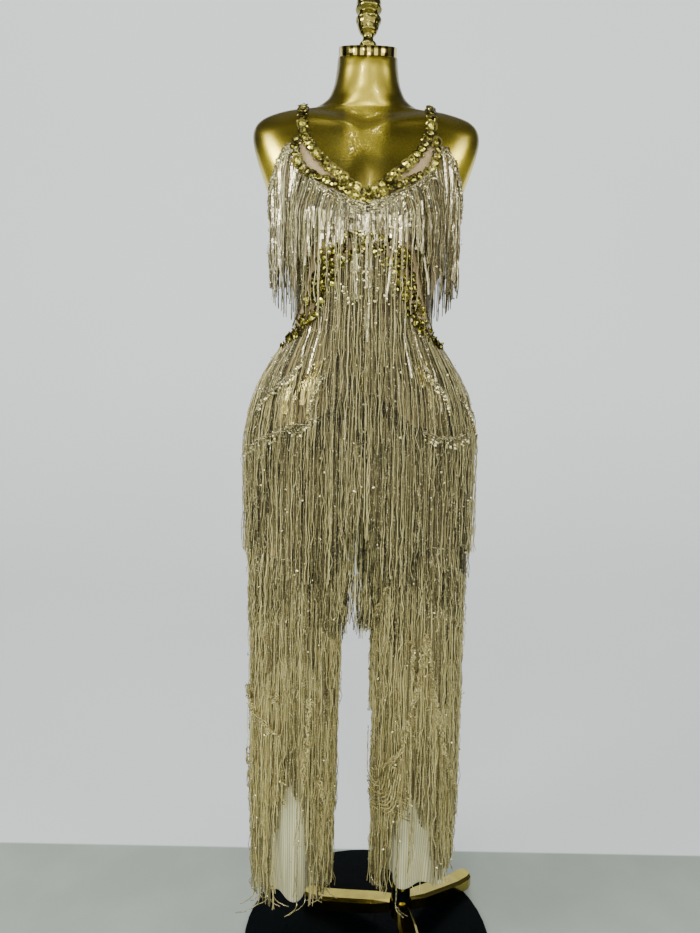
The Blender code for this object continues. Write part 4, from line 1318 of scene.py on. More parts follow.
# --- Stones ---
@dataclass
class StoneRows:
    """The stones of the neckline, the straps and the waist."""

    # |x| and z of the inner and the outer row on the front
    inner: Pairs = (
        (0.000, 1.2925), (0.011, 1.297), (0.031, 1.311), (0.054, 1.332), (0.073, 1.350),
        (0.090, 1.373), (0.099, 1.393), (0.104, 1.412),
    )
    outer: Pairs = (
        (0.000, 1.2790), (0.009, 1.2835), (0.033, 1.296), (0.056, 1.309), (0.079, 1.317),
        (0.098, 1.332), (0.109, 1.350), (0.113, 1.372), (0.110, 1.392),
    )
    strap_x: float = 0.104
    strap_back_z: float = 1.268
    pitch: float = 0.0128
    size: float = 0.0142
    waist_size: float = 0.0108
    lift: float = 0.0036
    # the small stones beside a row: how far aside, how much that varies, their size and lift
    small_aside: float = 0.0064
    small_drift: float = 0.0018
    small_size: float = 0.0046
    small_lift: float = 0.0030
    # the waist's stones: how many places are tried, how far apart they stay, and their lifts
    waist_tries: int = 2600
    waist_gap: float = 0.0076
    waist_lift: float = 0.0034
    raised_lift: float = 0.0068
    # angle, height and half width of the waist's band, from the front outwards
    waist_path: Tuple[Tuple[float, float, float], ...] = (
        (0.0, 1.222, 0.013), (12.0, 1.215, 0.016), (24.0, 1.198, 0.021), (34.0, 1.173, 0.024),
        (45.0, 1.146, 0.022),
        (55.0, 1.118, 0.019), (64.0, 1.091, 0.014), (71.0, 1.076, 0.010), (77.0, 1.066, 0.006),
    )

    def _path(self, hull: Outside, side: int, row: Sequence[Tuple[float, float]], strap: bool) -> Seats:
        """Points and outward directions along a row, as the row runs on the body."""
        found = [hull.seat((x * side, hull.AHEAD, z), (0, 1, 0)) for x, z in row]
        if strap:
            for y in np.linspace(-0.022, 0.062, 7):
                found.append(hull.seat((self.strap_x * side, float(y), 1.7), (0, 0, -1)))
            for z in np.linspace(1.395, self.strap_back_z, 9):
                found.append(hull.seat((self.strap_x * side, 0.5, float(z)), (0, -1, 0)))
        return found

    def _evenly(self, path: Seats, pitch: float, start: float = 0.0) -> Seats:
        """The path's points a pitch apart."""
        at = np.array([tuple(p) for p, _ in path])
        out = np.array([tuple(n) for _, n in path])
        run = np.concatenate([[0], np.cumsum(np.linalg.norm(np.diff(at, axis=0), axis=1))])
        stops = np.arange(start, run[-1], pitch)
        place = np.stack([np.interp(stops, run, at[:, k]) for k in range(3)], -1)
        facing = np.stack([np.interp(stops, run, out[:, k]) for k in range(3)], -1)
        return [(Vector(p), Vector(n).normalized()) for p, n in zip(place, facing)]

    def dress(self, shop: Workshop, form: Piece) -> None:
        """Makes the neckline's and the waist's stones."""
        under = ("bodice_front", "bodice_back", "leg_left_front", "leg_right_front")
        hull = Outside([form, *(shop.nodes[name] for name in under)], MIDDLE)
        for side, word in ((1, "left"), (-1, "right")):
            inner = self._evenly(self._path(hull, side, self.inner, True), self.pitch, 0.004)
            outer = self._evenly(self._path(hull, side, self.outer, False), self.pitch, 0.006)
            self._jewelled(shop, f"strap_stones_{word}", inner, f"strap_{word}", 11 + side)
            self._jewelled(shop, f"neckline_stones_{word}", outer, f"neck_band_{word}", 21 + side)
            self._waist(shop, hull, word, side)

    def _jewelled(
        self, shop: Workshop, name: str, row: Seats, node: str, seed: int
    ) -> None:
        """A row of large stones with small ones beside them, on its tape."""
        parts = [refined(shop.nodes[node], f"{name}_tape", 1)]
        parts[0].data.materials.append(shop.finish.braid)
        places = [p + n * self.lift for p, n in row]
        facing = [n for _, n in row]
        parts += shop.jewels(name, places, facing, self.size, 0.14, 0.32, seed)
        chance = np.random.default_rng(seed)
        small, small_out = [], []
        for (place, out), (following, _) in zip(row, row[1:]):
            along = following - place
            across = along.cross(out).normalized()
            for sign in (-1, 1):
                aside = self.small_aside + self.small_drift * chance.random()
                spot = place + along * 0.5 + across * sign * aside
                small.append(spot + out * self.small_lift)
                small_out.append((out + across * sign * 0.4).normalized())
        parts += shop.jewels(f"{name}_small", small, small_out, self.small_size, 0.25, 0.5, seed + 5)
        shop.kept(welded(parts, name), "stones", node)

    def _waist(self, shop: Workshop, hull: Outside, word: str, side: int) -> None:
        """The broad band of close-set stones that runs down to the waist's side."""
        name = f"waist_stones_{word}"
        chance = np.random.default_rng(31 + side)
        known = np.array(self.waist_path)
        spots: List[np.ndarray] = []
        facing: List[np.ndarray] = []
        ways: List[float] = []
        for _ in range(self.waist_tries):
            way = chance.random() * (len(known) - 1)
            angle, z, half = (float(np.interp(way, np.arange(len(known)), known[:, k])) for k in range(3))
            across = (chance.random() * 2 - 1) * half
            angle += across * 330.0 * 0.62
            z += across * 0.78
            sine, cosine = math.sin(math.radians(angle * side)), math.cos(math.radians(angle))
            reach = hull.radius(angle * side, z)
            if not reach:
                continue
            spot = np.array([reach * sine, MIDDLE[1] - reach * cosine, z])
            if all(np.linalg.norm(spot - s) > self.waist_gap for s in spots):
                spots.append(spot)
                facing.append(np.array([sine, -cosine, 0.0]))
                ways.append(way)
        parts = [refined(shop.nodes[f"waist_band_{word}"], f"{name}_tape", 1)]
        parts[0].data.materials.append(shop.finish.braid)
        places = [Vector(s + f * self.waist_lift) for s, f in zip(spots, facing)]
        parts += shop.jewels(name, places, [Vector(f) for f in facing], self.waist_size, 0.28, 0.6, 41 + side)
        upper = [
            (s + f * self.raised_lift, f)
            for s, f, w in zip(spots, facing, ways)
            if w > 2 and chance.random() < 0.30 + 0.06 * w
        ]
        parts += shop.jewels(
            f"{name}_raised", [Vector(s) for s, _ in upper], [Vector(f) for _, f in upper],
            self.waist_size * 0.86, 0.3, 0.95, 51 + side,
        )
        shop.kept(welded(parts, name), "stones", f"waist_band_{word}")


# --- Fringe ---
Column = Tuple[float, float, float]  # angle, heading's height, tips' height


@dataclass(frozen=True)
class Weave:
    """How one curtain's strands hang."""

    per_metre: float
    width: float = 0.0015
    levels: int = 12
    waviness: float = 0.0013
    turns: float = 6.0
    ragged: float = 0.20
    clumping: float = 0.5
    bunch: int = 3
    depth: float = 0.003
    kind: StrandKind = StrandKind.CORD


class Fringe:
    """Hangs the fringe row by row, with one seed after another."""

    SPARSE = 0.2  # a row that hangs no closer than this has no shaded layer

    def __init__(self, shop: Workshop) -> None:
        """Measures the body and the legs."""
        self.shop = shop
        self.seed = 100
        nodes = shop.nodes
        body = [nodes[n] for n in nodes if n.startswith(("bodice_", "leg_"))]
        self.body = Outside(body, MIDDLE)
        self.legs = {
            sign: Outside(
                [nodes[f"leg_{word}_front"], nodes[f"leg_{word}_back"]], (0.094 * sign, 0.022)
            )
            for word, sign in (("left", 1), ("right", -1))
        }

    def curtain(
        self, hull: Outside, columns: Sequence[Column], lift: float, stand_off: float,
        floor_z: float = 0.80, rows: int = 18, run: float = 0.05,
    ) -> np.ndarray:
        """The sheet that a row's strands lie in.

        Args:
            hull: What the row hangs on.
            columns: Angle, heading and tip of each column.
            lift: How far the heading lies off the cloth.
            stand_off: How far the strands hang off it lower down.
            floor_z: The lowest height at which the hull is looked at.
            rows: How many rows of points the sheet has.
            run: Over what length the strands come away from the cloth.

        Returns:
            rows x columns x 3 places.
        """
        sheet = np.zeros((rows, len(columns), 3))
        for j, (angle, root, tip) in enumerate(columns):
            reach = 0.0
            sine, cosine = math.sin(math.radians(angle)), math.cos(math.radians(angle))
            for i in range(rows):
                z = root + (tip - root) * i / (rows - 1)
                reach = max(reach, hull.radius(angle, max(z, floor_z)))
                away = min((root - z) / run, 1.0)
                r = reach + lift + (stand_off - lift) * away * away * (3 - 2 * away)
                sheet[i, j] = (hull.axis[0] + r * sine, hull.axis[1] - r * cosine, z)
        return sheet

    def hang(self, name: str, sheet: np.ndarray, weave: Weave, paint: Paint) -> Piece:
        """Hangs strands on a sheet of places, and returns their object."""
        self.seed += 1
        across = np.linalg.norm(np.diff(sheet, axis=1), axis=2).sum(1).max()
        strands = max(int(weave.per_metre * across), 2)
        return self.shop.strands[weave.kind].run(
            grid_mesh(name, sheet), name, Strands=strands, Levels=weave.levels, Width=weave.width,
            Waviness=weave.waviness, Turns=weave.turns, Ragged=weave.ragged,
            Clumps=max(strands // weave.bunch, 1), Clumping=weave.clumping, Depth=weave.depth,
            Seed=self.seed, Material=paint,
        )

    def coat(
        self, name: str, inner: np.ndarray, outer: np.ndarray, thread: Paint,
        shade: Paint, density: float = 1.0, glitter: float = 60.0, levels: int = 12,
        ragged: float = 0.28,
    ) -> List[Piece]:
        """A full row: a shaded layer, a bright one, a few loose strands and some sequins.

        Args:
            name: What the layers are called.
            inner: The sheet next to the cloth.
            outer: The sheet that shows.
            thread: The bright strands' finish.
            shade: The shaded strands' finish.
            density: How close the strands hang, as a share of the usual.
            glitter: Sequins for each square metre, in tens.
            levels: Points along a strand.
            ragged: How far the strands' lengths differ.

        Returns:
            The layers.
        """
        middle = (inner + outer) / 2
        down = float(np.linalg.norm(outer[-1] - outer[0], axis=1).mean())
        across = float(np.linalg.norm(np.diff(outer, axis=1), axis=2).sum(1).mean())
        long = levels + 4
        made = []
        # the deep layer next to the cloth takes the shaded finish, as painted shade behind the bright strands
        if density > self.SPARSE:
            weave = Weave(360 * density, 0.0019, levels - 1, 0.0012, 6.0, ragged * 0.7)
            made.append(self.hang(f"{name}_deep", inner, weave, shade))
        for layer, sheet, weave in (
            ("main", middle, Weave(260 * density, 0.0013, long, 0.0030, 12.0, ragged, 0.6)),
            ("outer", outer, Weave(110 * density, 0.0013, long, 0.0046, 12.0, ragged * 1.5, 0.4, 2)),
            ("loose", outer, Weave(38 * density, 0.0012, long, 0.0080, 7.0, 0.7, 0.0)),
        ):
            made.append(self.hang(f"{name}_{layer}", sheet, weave, thread))
        count = max(int(glitter * 10 * down * across), 2)
        return [*made, self.glitter(f"{name}_glitter", middle, count, 0.0034)]

    def traced(
        self, hull: Outside, line: Sequence[Tuple[float, float]], lift: float, fall: float
    ) -> Tuple[np.ndarray, List[Column]]:
        """Carries a line that is seen from the front onto a body.

        Args:
            hull: The body.
            line: x and z of its points.
            lift: How far it lies off the body.
            fall: How far the strands on it hang down.

        Returns:
            Its places, and its columns by growing angle.
        """
        known = np.array(line, float)
        way = np.linspace(0, len(known) - 1, 10 * len(known))
        points, columns = [], []
        for t in way:
            x, z = (float(np.interp(t, np.arange(len(known)), known[:, k])) for k in (0, 1))
            hit, out = hull.front(x, z)
            angle = math.degrees(math.atan2(out.x, -out.y))
            points.append(tuple(hit + out * lift))
            columns.append((angle, z, z - fall))
        columns.sort()
        return np.array(points), columns

    def braid(
        self, name: str, line: np.ndarray, cords: int, crinkle: float, fineness: float = 240.0,
        paint: Optional[Paint] = None, width: float = 0.0016,
    ) -> List[Piece]:
        """Crinkled cords along a heading line."""
        made = []
        for k in range(cords):
            mesh = bpy.data.meshes.new(name)
            mesh.from_pydata(line.tolist(), [(i, i + 1) for i in range(len(line) - 1)], [])
            self.seed += 1
            made.append(
                self.shop.crinkle.run(
                    mesh, f"{name}_{k}", Step=0.0018, Width=width, Crinkle=crinkle, Fineness=fineness,
                    Seed=self.seed, Material=paint or self.shop.finish.braid,
                )
            )
        return made

    def glitter(self, name: str, sheet: np.ndarray, count: int, size: float) -> Piece:
        """Sequins strewn over a sheet."""
        self.seed += 1
        chance = np.random.default_rng(self.seed)
        rows, columns = sheet.shape[:2]
        spots, facing = [], []
        for _ in range(count):
            i, j = chance.integers(1, rows - 1), chance.integers(0, columns - 1)
            a, b = chance.random(2)
            p = sheet[i, j] * (1 - a) + sheet[i, j + 1] * a
            p = p + (sheet[min(i + 1, rows - 1), j] - sheet[i, j]) * b
            across = sheet[i, j + 1] - sheet[i, j]
            down = sheet[min(i + 1, rows - 1), j] - sheet[i - 1, j]
            out = np.cross(across, down)
            spread = np.linalg.norm(out)
            out = -out / spread if spread > 1e-12 else np.array([0, -1.0, 0])
            spots.append(Vector(p + out * 0.0035))
            facing.append(Vector(out))
        return self.shop.sequins(name, spots, facing, size, self.seed)


def run_of(line: np.ndarray) -> float:
    """The length of a line of places."""
    return float(np.linalg.norm(np.diff(line, axis=0), axis=1).sum())


def table(
    rows: Sequence[Tuple[float, ...]], count: int, low: float = -180.0, high: float = 180.0
) -> List[Column]:
    """Columns read from a table of one half, which holds for the other too.

    Args:
        rows: Angle, heading and tip, by growing angle from 0.
        count: How many columns come out.
        low: The first column's angle.
        high: The last column's angle.

    Returns:
        The columns, by growing angle.
    """
    known = np.array(rows, float)
    return [
        (float(a), *(float(np.interp(abs(a), known[:, 0], known[:, k])) for k in (1, 2)))
        for a in np.linspace(low, high, count)
    ]


@dataclass
class BodyFringe:
    """The bust's, the back's, the waist's and the hips' fringe."""

    # angle, heading, the close strands' tips and the long strands' tips
    bust: Tuple[Tuple[float, float, float, float], ...] = (
        (0, 1.276, 1.216, 1.130), (12, 1.281, 1.212, 1.122), (24, 1.292, 1.208, 1.120),
        (34, 1.303, 1.200, 1.116),
        (43, 1.318, 1.186, 1.118), (50, 1.338, 1.170, 1.122), (56, 1.364, 1.160, 1.128),
        (60, 1.378, 1.152, 1.134),
        (63, 1.377, 1.150, 1.136), (67, 1.347, 1.150, 1.138), (70, 1.320, 1.152, 1.142),
        (75, 1.298, 1.156, 1.146),
        (80, 1.274, 1.160, 1.150), (86, 1.252, 1.166, 1.156), (90, 1.246, 1.170, 1.160),
    )
    # the few long strands that hang free before the waist
    fall: Tuple[Column, ...] = (
        (0, 1.268, 1.010), (20, 1.282, 1.020), (34, 1.300, 1.045), (44, 1.318, 1.075),
    )
    back: Tuple[Column, ...] = (
        (90, 1.246, 1.160), (96, 1.268, 1.150), (104, 1.282, 1.135), (130, 1.262, 1.095), (153, 1.236, 1.062),
        (180, 1.214, 1.050),
    )
    waist: Tuple[Column, ...] = (
        (0, 1.204, 0.880), (14, 1.198, 0.880), (24, 1.186, 0.885), (36, 1.160, 0.885), (48, 1.126, 0.875),
        (60, 1.094, 0.790), (70, 1.074, 0.730), (90, 1.060, 0.700), (125, 1.066, 0.700), (180, 1.078, 0.740),
    )
    hip: Tuple[Column, ...] = (
        (0, 0.985, 0.765), (6, 0.984, 0.735), (14, 0.980, 0.705), (24, 0.968, 0.672), (40, 0.935, 0.672),
        (56, 0.925, 0.668), (72, 0.950, 0.664), (90, 0.958, 0.664), (126, 0.960, 0.675), (180, 0.962, 0.690),
    )
    # the stretches of the waist's row, as angles, and how close the strands hang in each
    waist_spans: Tuple[Tuple[float, float, float], ...] = (
        (-180, -62, 1.0), (-62, -32, 0.24), (-32, 34, 1.0), (34, 46, 0.75), (46, 58, 0.24), (58, 180, 1.0),
    )
    # the arcs that edge the openings on the hips: x and z
    arcs: Tuple[Pairs, ...] = (
        ((-0.060, 0.945), (-0.085, 0.931), (-0.118, 0.921), (-0.150, 0.909), (-0.168, 0.893)),
        ((-0.078, 1.046), (-0.092, 1.022), (-0.112, 1.004), (-0.136, 0.982), (-0.160, 0.950)),
        ((-0.055, 1.010), (-0.070, 0.975), (-0.072, 0.945)),
        ((0.088, 0.925), (0.112, 0.916), (0.140, 0.915), (0.160, 0.925)),
        ((0.086, 1.030), (0.100, 1.008), (0.118, 0.990), (0.124, 0.968)),
        ((0.150, 0.985), (0.166, 0.955), (0.176, 0.925)),
    )
    # pale satin ends in the openings: first and last angle, top, tip and how many
    folds: Tuple[Tuple[float, float, float, float, int], ...] = (
        (-46, -35, 1.035, 0.940, 4), (-60, -48, 1.015, 0.930, 3), (46, 56, 1.040, 0.955, 3),
    )

    def dress(self, shop: Workshop, fringe: Fringe) -> None:
        """Hangs the rows from the lowest up, and hands each over."""
        self._hips(shop, fringe)
        self._waist(shop, fringe)
        self._bust(shop, fringe)
        self._back(shop, fringe)

    def _hips(self, shop: Workshop, fringe: Fringe) -> None:
        """The hips' row, with its arcs, its satin ends and the long strands at the crotch."""
        paint = shop.finish
        columns = table(self.hip, 121)
        inner = fringe.curtain(fringe.body, columns, 0.0022, 0.004)
        outer = fringe.curtain(fringe.body, columns, 0.0036, 0.0095)
        parts = fringe.coat("hip", inner, outer, paint.cord, paint.cord_shade, 1.0, 70, 11)
        parts += fringe.braid("hip_heading", outer[0], 3, 0.0024)
        for k, arc in enumerate(self.arcs):
            parts += self._arc(fringe, f"hip_arc_{k}", arc)
        for k, (low, high, top, tip, count) in enumerate(self.folds):
            columns = [(float(a), top, tip) for a in np.linspace(low, high, 7)]
            sheet = fringe.curtain(fringe.body, columns, 0.0030, 0.0115)
            weave = Weave(
                count / run_of(sheet[0]), 0.0085, 10, 0.0030, 3.0, 0.5, 0.0, 1, 0.002, StrandKind.RIBBON
            )
            parts.append(fringe.hang(f"hip_fold_{k}", sheet, weave, paint.satin))
        columns = [(float(x), 0.800, 0.560) for x in np.linspace(-0.034, 0.046, 13)]
        rows = 10
        middle = np.zeros((rows, len(columns), 3))
        for j, (x, top, tip) in enumerate(columns):
            for i in range(rows):
                t = i / (rows - 1)
                y = -0.066 + 0.040 * min(t * 2, 1.0) ** 0.7
                middle[i, j] = (x, y, top + (tip + abs(x - 0.008) * 1.4 - top) * t)
        parts.append(
            fringe.hang("crotch_deep", middle, Weave(560, 0.0015, 12, 0.0030, 6.0, 0.35), paint.cord_shade)
        )
        parts.append(
            fringe.hang("crotch_main", middle, Weave(620, 0.0014, 12, 0.0036, 6.0, 0.5), paint.straw)
        )
        shop.kept(welded(parts, "hip_fringe"), "fringe", "fringe_hip")

    def _waist(self, shop: Workshop, fringe: Fringe) -> None:
        """The waist's row, stretch by stretch, with the foil in it and the corded seams."""
        paint = shop.finish
        parts: List[Piece] = []
        for k, (low, high, density) in enumerate(self.waist_spans):
            columns = table(self.waist, max(int((high - low) / 3.5), 5), low, high)
            inner = fringe.curtain(fringe.body, columns, 0.0026, 0.008, run=0.16)
            outer = fringe.curtain(fringe.body, columns, 0.0040, 0.0175, run=0.18)
            parts += fringe.coat(
                f"waist_{k}", inner, outer, paint.cord, paint.cord_shade, density, 100, 13, 0.34
            )
            weave = Weave(12 * density, 0.0026, 14, ragged=0.85, kind=StrandKind.RIBBON, depth=0.001)
            parts.append(fringe.hang(f"waist_foil_{k}", outer[:10], weave, paint.foil))
            parts += fringe.braid(f"waist_heading_{k}", inner[0], 3, 0.0026)
        parts += self._seams(fringe)
        shop.kept(welded(parts, "waist_fringe"), "fringe", "fringe_waist")

    def _bust(self, shop: Workshop, fringe: Fringe) -> None:
        """The bust's silver row in its layers, with foil, sequins and its gathered heading."""
        paint = shop.finish
        near = table([(a, top, short) for a, top, short, _ in self.bust], 121, -90, 90)
        far = table([(a, top, long) for a, top, _, long in self.bust], 121, -90, 90)
        inner = fringe.curtain(fringe.body, near, 0.0030, 0.0030, floor_z=1.20)
        outer = fringe.curtain(fringe.body, near, 0.0045, 0.0050, floor_z=1.20)
        long = fringe.curtain(fringe.body, far, 0.0040, 0.0052, floor_z=1.20)
        fall = fringe.curtain(fringe.body, table(self.fall, 41, -44, 44), 0.0050, 0.0075, floor_z=1.20)
        across = [(float(a), 1.245, 1.120) for a in range(-26, 27, 4)]
        ribbon = StrandKind.RIBBON
        parts = [
            fringe.hang(f"bust_{layer}", sheet, weave, finish)
            for layer, sheet, weave, finish in (
                ("deep", inner, Weave(270, 0.0016, ragged=0.62), paint.silver_shade),
                ("main", (inner + outer) / 2, Weave(200, 0.0016, 16, 0.0026, 9.0, 0.55, 0.6), paint.silver),
                ("outer", outer, Weave(90, 0.0016, 14, 0.0026, 6.0, 0.5, 0.3, 2, 0.002), paint.silver),
                ("long", long, Weave(66, 0.0013, 18, 0.0026, 9.0, 0.30, 0.3, 2, 0.002), paint.silver),
                ("loose", long, Weave(24, 0.0013, 16, 0.0055, 5.0, 0.5, 0.0, depth=0.002), paint.silver),
                (
                    "foil", outer, Weave(84, 0.0044, 12, 0.0024, ragged=0.75, kind=ribbon, depth=0.002),
                    paint.foil
                ),
                (
                    "long_foil", long, Weave(14, 0.0030, 12, 0.0020, ragged=0.4, kind=ribbon, depth=0.002),
                    paint.foil
                ),
                ("fall", fall, Weave(105, 0.0011, 22, 0.0022, 9.0, 0.34, 0.3, 2, 0.002), paint.straw),
            )
        ]
        parts.append(fringe.glitter("bust_glitter", outer, 90, 0.0030))
        parts.append(fringe.glitter("heading_glitter", outer[:4], 130, 0.0036))
        middle = fringe.curtain(fringe.body, across, 0.004, 0.006)
        parts.append(fringe.glitter("middle_glitter", middle, 150, 0.0042))
        for k, drop in enumerate((0.0, 0.003, 0.006, 0.009, 0.012, 0.015)):
            line = outer[0] - np.array([0.0, 0.0, drop])
            line = line + (outer[0] - inner[0]) * 1.2
            finish = paint.foil if k % 2 else paint.silver
            parts += fringe.braid(f"bust_heading_{k}", line, 2, 0.0034, 230.0 + 40 * k, finish, 0.0018)
        shop.kept(welded(parts, "bust_fringe"), "fringe", "fringe_bust")

    def _back(self, shop: Workshop, fringe: Fringe) -> None:
        """The back's silver row, from one side round to the other."""
        paint = shop.finish
        half = np.array(self.back)
        columns = [
            (float(a), *(float(np.interp(180 - abs(180 - a), half[:, 0], half[:, k])) for k in (1, 2)))
            for a in np.linspace(90, 270, 85)
        ]
        inner = fringe.curtain(fringe.body, columns, 0.0036, 0.005, floor_z=1.15)
        outer = fringe.curtain(fringe.body, columns, 0.0050, 0.009, floor_z=1.15)
        foil = Weave(24, 0.0030, ragged=0.8, kind=StrandKind.RIBBON, depth=0.002)
        parts = [
            fringe.hang(f"back_{layer}", sheet, weave, finish)
            for layer, sheet, weave, finish in (
                ("deep", inner, Weave(330, 0.0017, ragged=0.45), paint.silver_shade),
                ("main", (inner + outer) / 2, Weave(230, 0.0020, ragged=0.35, clumping=0.6), paint.silver),
                ("foil", outer, foil, paint.foil),
            )
        ]
        parts.append(fringe.glitter("back_glitter", outer, 60, 0.0032))
        for k, drop in enumerate((0.0, 0.004, 0.008)):
            line = outer[0] - np.array([0.0, 0.0, drop])
            finish = paint.foil if k == 1 else None
            parts += fringe.braid(f"back_heading_{k}", line, 2, 0.0026, 240.0, finish)
        shop.kept(welded(parts, "back_fringe"), "fringe", "fringe_back")

    def _seams(self, fringe: Fringe) -> List[Piece]:
        """Corded seams: one round the waist, and one up each side of the bodice."""
        straw = fringe.shop.finish.straw
        ring = [(float(a), 1.0855, 1.080) for a in np.linspace(-180, 180, 121)]
        line = fringe.curtain(fringe.body, ring, 0.0010, 0.0010)[0]
        made = fringe.braid("waist_seam", line, 2, 0.0010, 260.0, straw, 0.0020)
        for side in (-90.0, 90.0):
            line = [
                fringe.curtain(fringe.body, [(side, float(z), float(z) - 0.01)], 0.0006, 0.0006)[0, 0]
                for z in np.linspace(1.088, 1.236, 24)
            ]
            made += fringe.braid(f"side_seam_{int(side)}", np.array(line), 1, 0.0004, 200.0, straw, 0.0018)
        return made

    def _arc(self, fringe: Fringe, name: str, line: Sequence[Tuple[float, float]]) -> List[Piece]:
        """A gathered heading with sequins that runs over the hip, and the short strands on it."""
        points, columns = fringe.traced(fringe.body, line, 0.0165, 0.100)
        sheet = fringe.curtain(fringe.body, columns, 0.0165, 0.0185)
        paint = fringe.shop.finish
        made = fringe.braid(name, points, 5, 0.0056, 190.0)
        before = points + np.array([0.0, -0.001, -0.003])
        made += fringe.braid(f"{name}_foil", before, 2, 0.0060, 170.0, paint.foil)
        weave = Weave(190, 0.0014, 10, 0.0028, 6.0, 0.5, 0.4)
        made.append(fringe.hang(f"{name}_strands", sheet, weave, paint.cord))
        made.append(fringe.glitter(f"{name}_sequins", sheet[:4], 46, 0.0046))
        return made


@dataclass(frozen=True)
class Tier:
    """One ring of fringe round a leg."""

    name: str
    root: float
    tip: float
    wave: float = 0.012
    ragged: float = 0.30


@dataclass
class LegFringe:
    """The tiers round each leg, with an arched opening over the hem's front."""

    tiers: Tuple[Tier, ...] = (
        Tier("thigh", 0.722, 0.572, 0.012, 0.40), Tier("knee", 0.655, 0.420, 0.030, 0.60),
        Tier("calf", 0.515, 0.225, 0.040, 0.30), Tier("hem", 0.345, 0.092),
    )
    # x and z of each opening's top, and half its width at the hem
    windows: Dict[int, Tuple[float, float, float]] = field(
        default_factory=lambda: {1: (0.098, 0.300, 0.047), -1: (-0.108, 0.322, 0.037)}
    )
    # headings that run aslant over the front: x, z, and how far their strands fall
    slants: Dict[int, Tuple[Tuple[Pairs, float], ...]] = field(
        default_factory=lambda: {
            1: (
                (((0.060, 0.680), (0.046, 0.620), (0.034, 0.560), (0.026, 0.505)), 0.12),
                (((0.112, 0.590), (0.100, 0.490), (0.080, 0.385), (0.052, 0.335), (0.030, 0.300)), 0.15),
                (((0.113, 0.588), (0.128, 0.480), (0.145, 0.385), (0.166, 0.305)), 0.15),
            ),
            -1: (
                (((-0.078, 0.470), (-0.082, 0.400), (-0.088, 0.345)), 0.09),
                (((-0.186, 0.480), (-0.168, 0.440), (-0.140, 0.425), (-0.122, 0.410)), 0.14),
                (((-0.066, 0.330), (-0.060, 0.280), (-0.066, 0.235)), 0.10),
            ),
        }
    )
    # middles, x and z, of tangles of curled ends
    tangles: Dict[int, Pairs] = field(
        default_factory=lambda: {1: ((0.180, 0.455),), -1: ((-0.176, 0.340), (-0.182, 0.290))}
    )

    def dress(self, shop: Workshop, fringe: Fringe) -> None:
        """Hangs every tier of both legs, and hands each over."""
        for word, sign in (("left", 1), ("right", -1)):
            hull = fringe.legs[sign]
            for k, tier in enumerate(self.tiers):
                parts = self._tier(shop, fringe, hull, word, sign, tier, k)
                if tier.name == "calf":
                    for n, (line, fall) in enumerate(self.slants[sign]):
                        parts += self._slant(shop, fringe, hull, f"{word}_slant_{n}", line, fall)
                    for n, spot in enumerate(self.tangles[sign]):
                        parts += self._tangle(fringe, hull, f"{word}_tangle_{n}", spot, 300 + 10 * n + sign)
                    if sign > 0:
                        parts += self._loops(fringe, hull)
                if tier.name == "hem":
                    parts += self._hooks(fringe, hull, sign)
                shop.kept(welded(parts, f"{word}_{tier.name}_fringe"), "fringe", f"fringe_{word}_{tier.name}")

    def _opening(self, hull: Outside, sign: int, angle: float) -> float:
        """How far beside the opening's middle an angle lies, from 0 at its middle to 1 at its edge."""
        apex_x, _, half = self.windows[sign]
        if abs(angle) > 85:
            return 9.0
        return abs(hull.axis[0] + 0.095 * math.sin(math.radians(angle)) - apex_x) / half

    def _tier(
        self, shop: Workshop, fringe: Fringe, hull: Outside, word: str, sign: int, tier: Tier, number: int
    ) -> List[Piece]:
        """Hangs one tier of one leg."""
        apex_z = self.windows[sign][1]
        columns: List[Column] = []
        for angle in np.linspace(-180, 180, 145):
            root = tier.root + tier.wave * math.sin(math.radians(3 * angle + 70 * number + 40 * sign))
            tip = tier.tip + 0.012 * math.sin(math.radians(5 * angle + 50 * number))
            if tier.name == "hem":
                tip = tier.tip + (0.030 if sign > 0 else 0.002) * (1 + math.sin(math.radians(angle)) * sign)
            aside = self._opening(hull, sign, float(angle))
            if tier.name == "calf" and aside < 1.1:
                tip = max(0.15, apex_z - (apex_z - 0.15) * (aside / 1.1) ** 1.3)
                tip += 0.016 * math.sin(angle * 2.9) * min(aside * 2, 1.0)
            columns.append((float(angle), root, tip))
        paint = shop.finish
        thread, shade = (paint.straw, paint.straw_shade) if number else (paint.cord, paint.cord_shade)
        floor_z = 0.145 if sign > 0 else 0.12
        inner = fringe.curtain(hull, columns, 0.0022, 0.004, floor_z)
        outer = fringe.curtain(hull, columns, 0.0034, 0.0095, floor_z)
        name = f"{word}_{tier.name}"
        spans = [(0, len(columns), 1.0)]
        if tier.name == "hem":
            inside = [k for k, column in enumerate(columns) if self._opening(hull, sign, column[0]) < 0.95]
            spans = [(0, inside[0] + 1, 1.0), (inside[0], inside[-1], 0.13), (inside[-1], len(columns), 1.0)]
        parts: List[Piece] = []
        for n, (first, last, density) in enumerate(spans):
            near, far = inner[:, first:last], outer[:, first:last]
            parts += fringe.coat(f"{name}_{n}", near, far, thread, shade, density, 45, 11, tier.ragged)
            if density > 0.5 and tier.wave < 0.02:
                parts += fringe.braid(f"{name}_heading_{n}", far[0], 2, 0.0030, 200.0)
        return parts

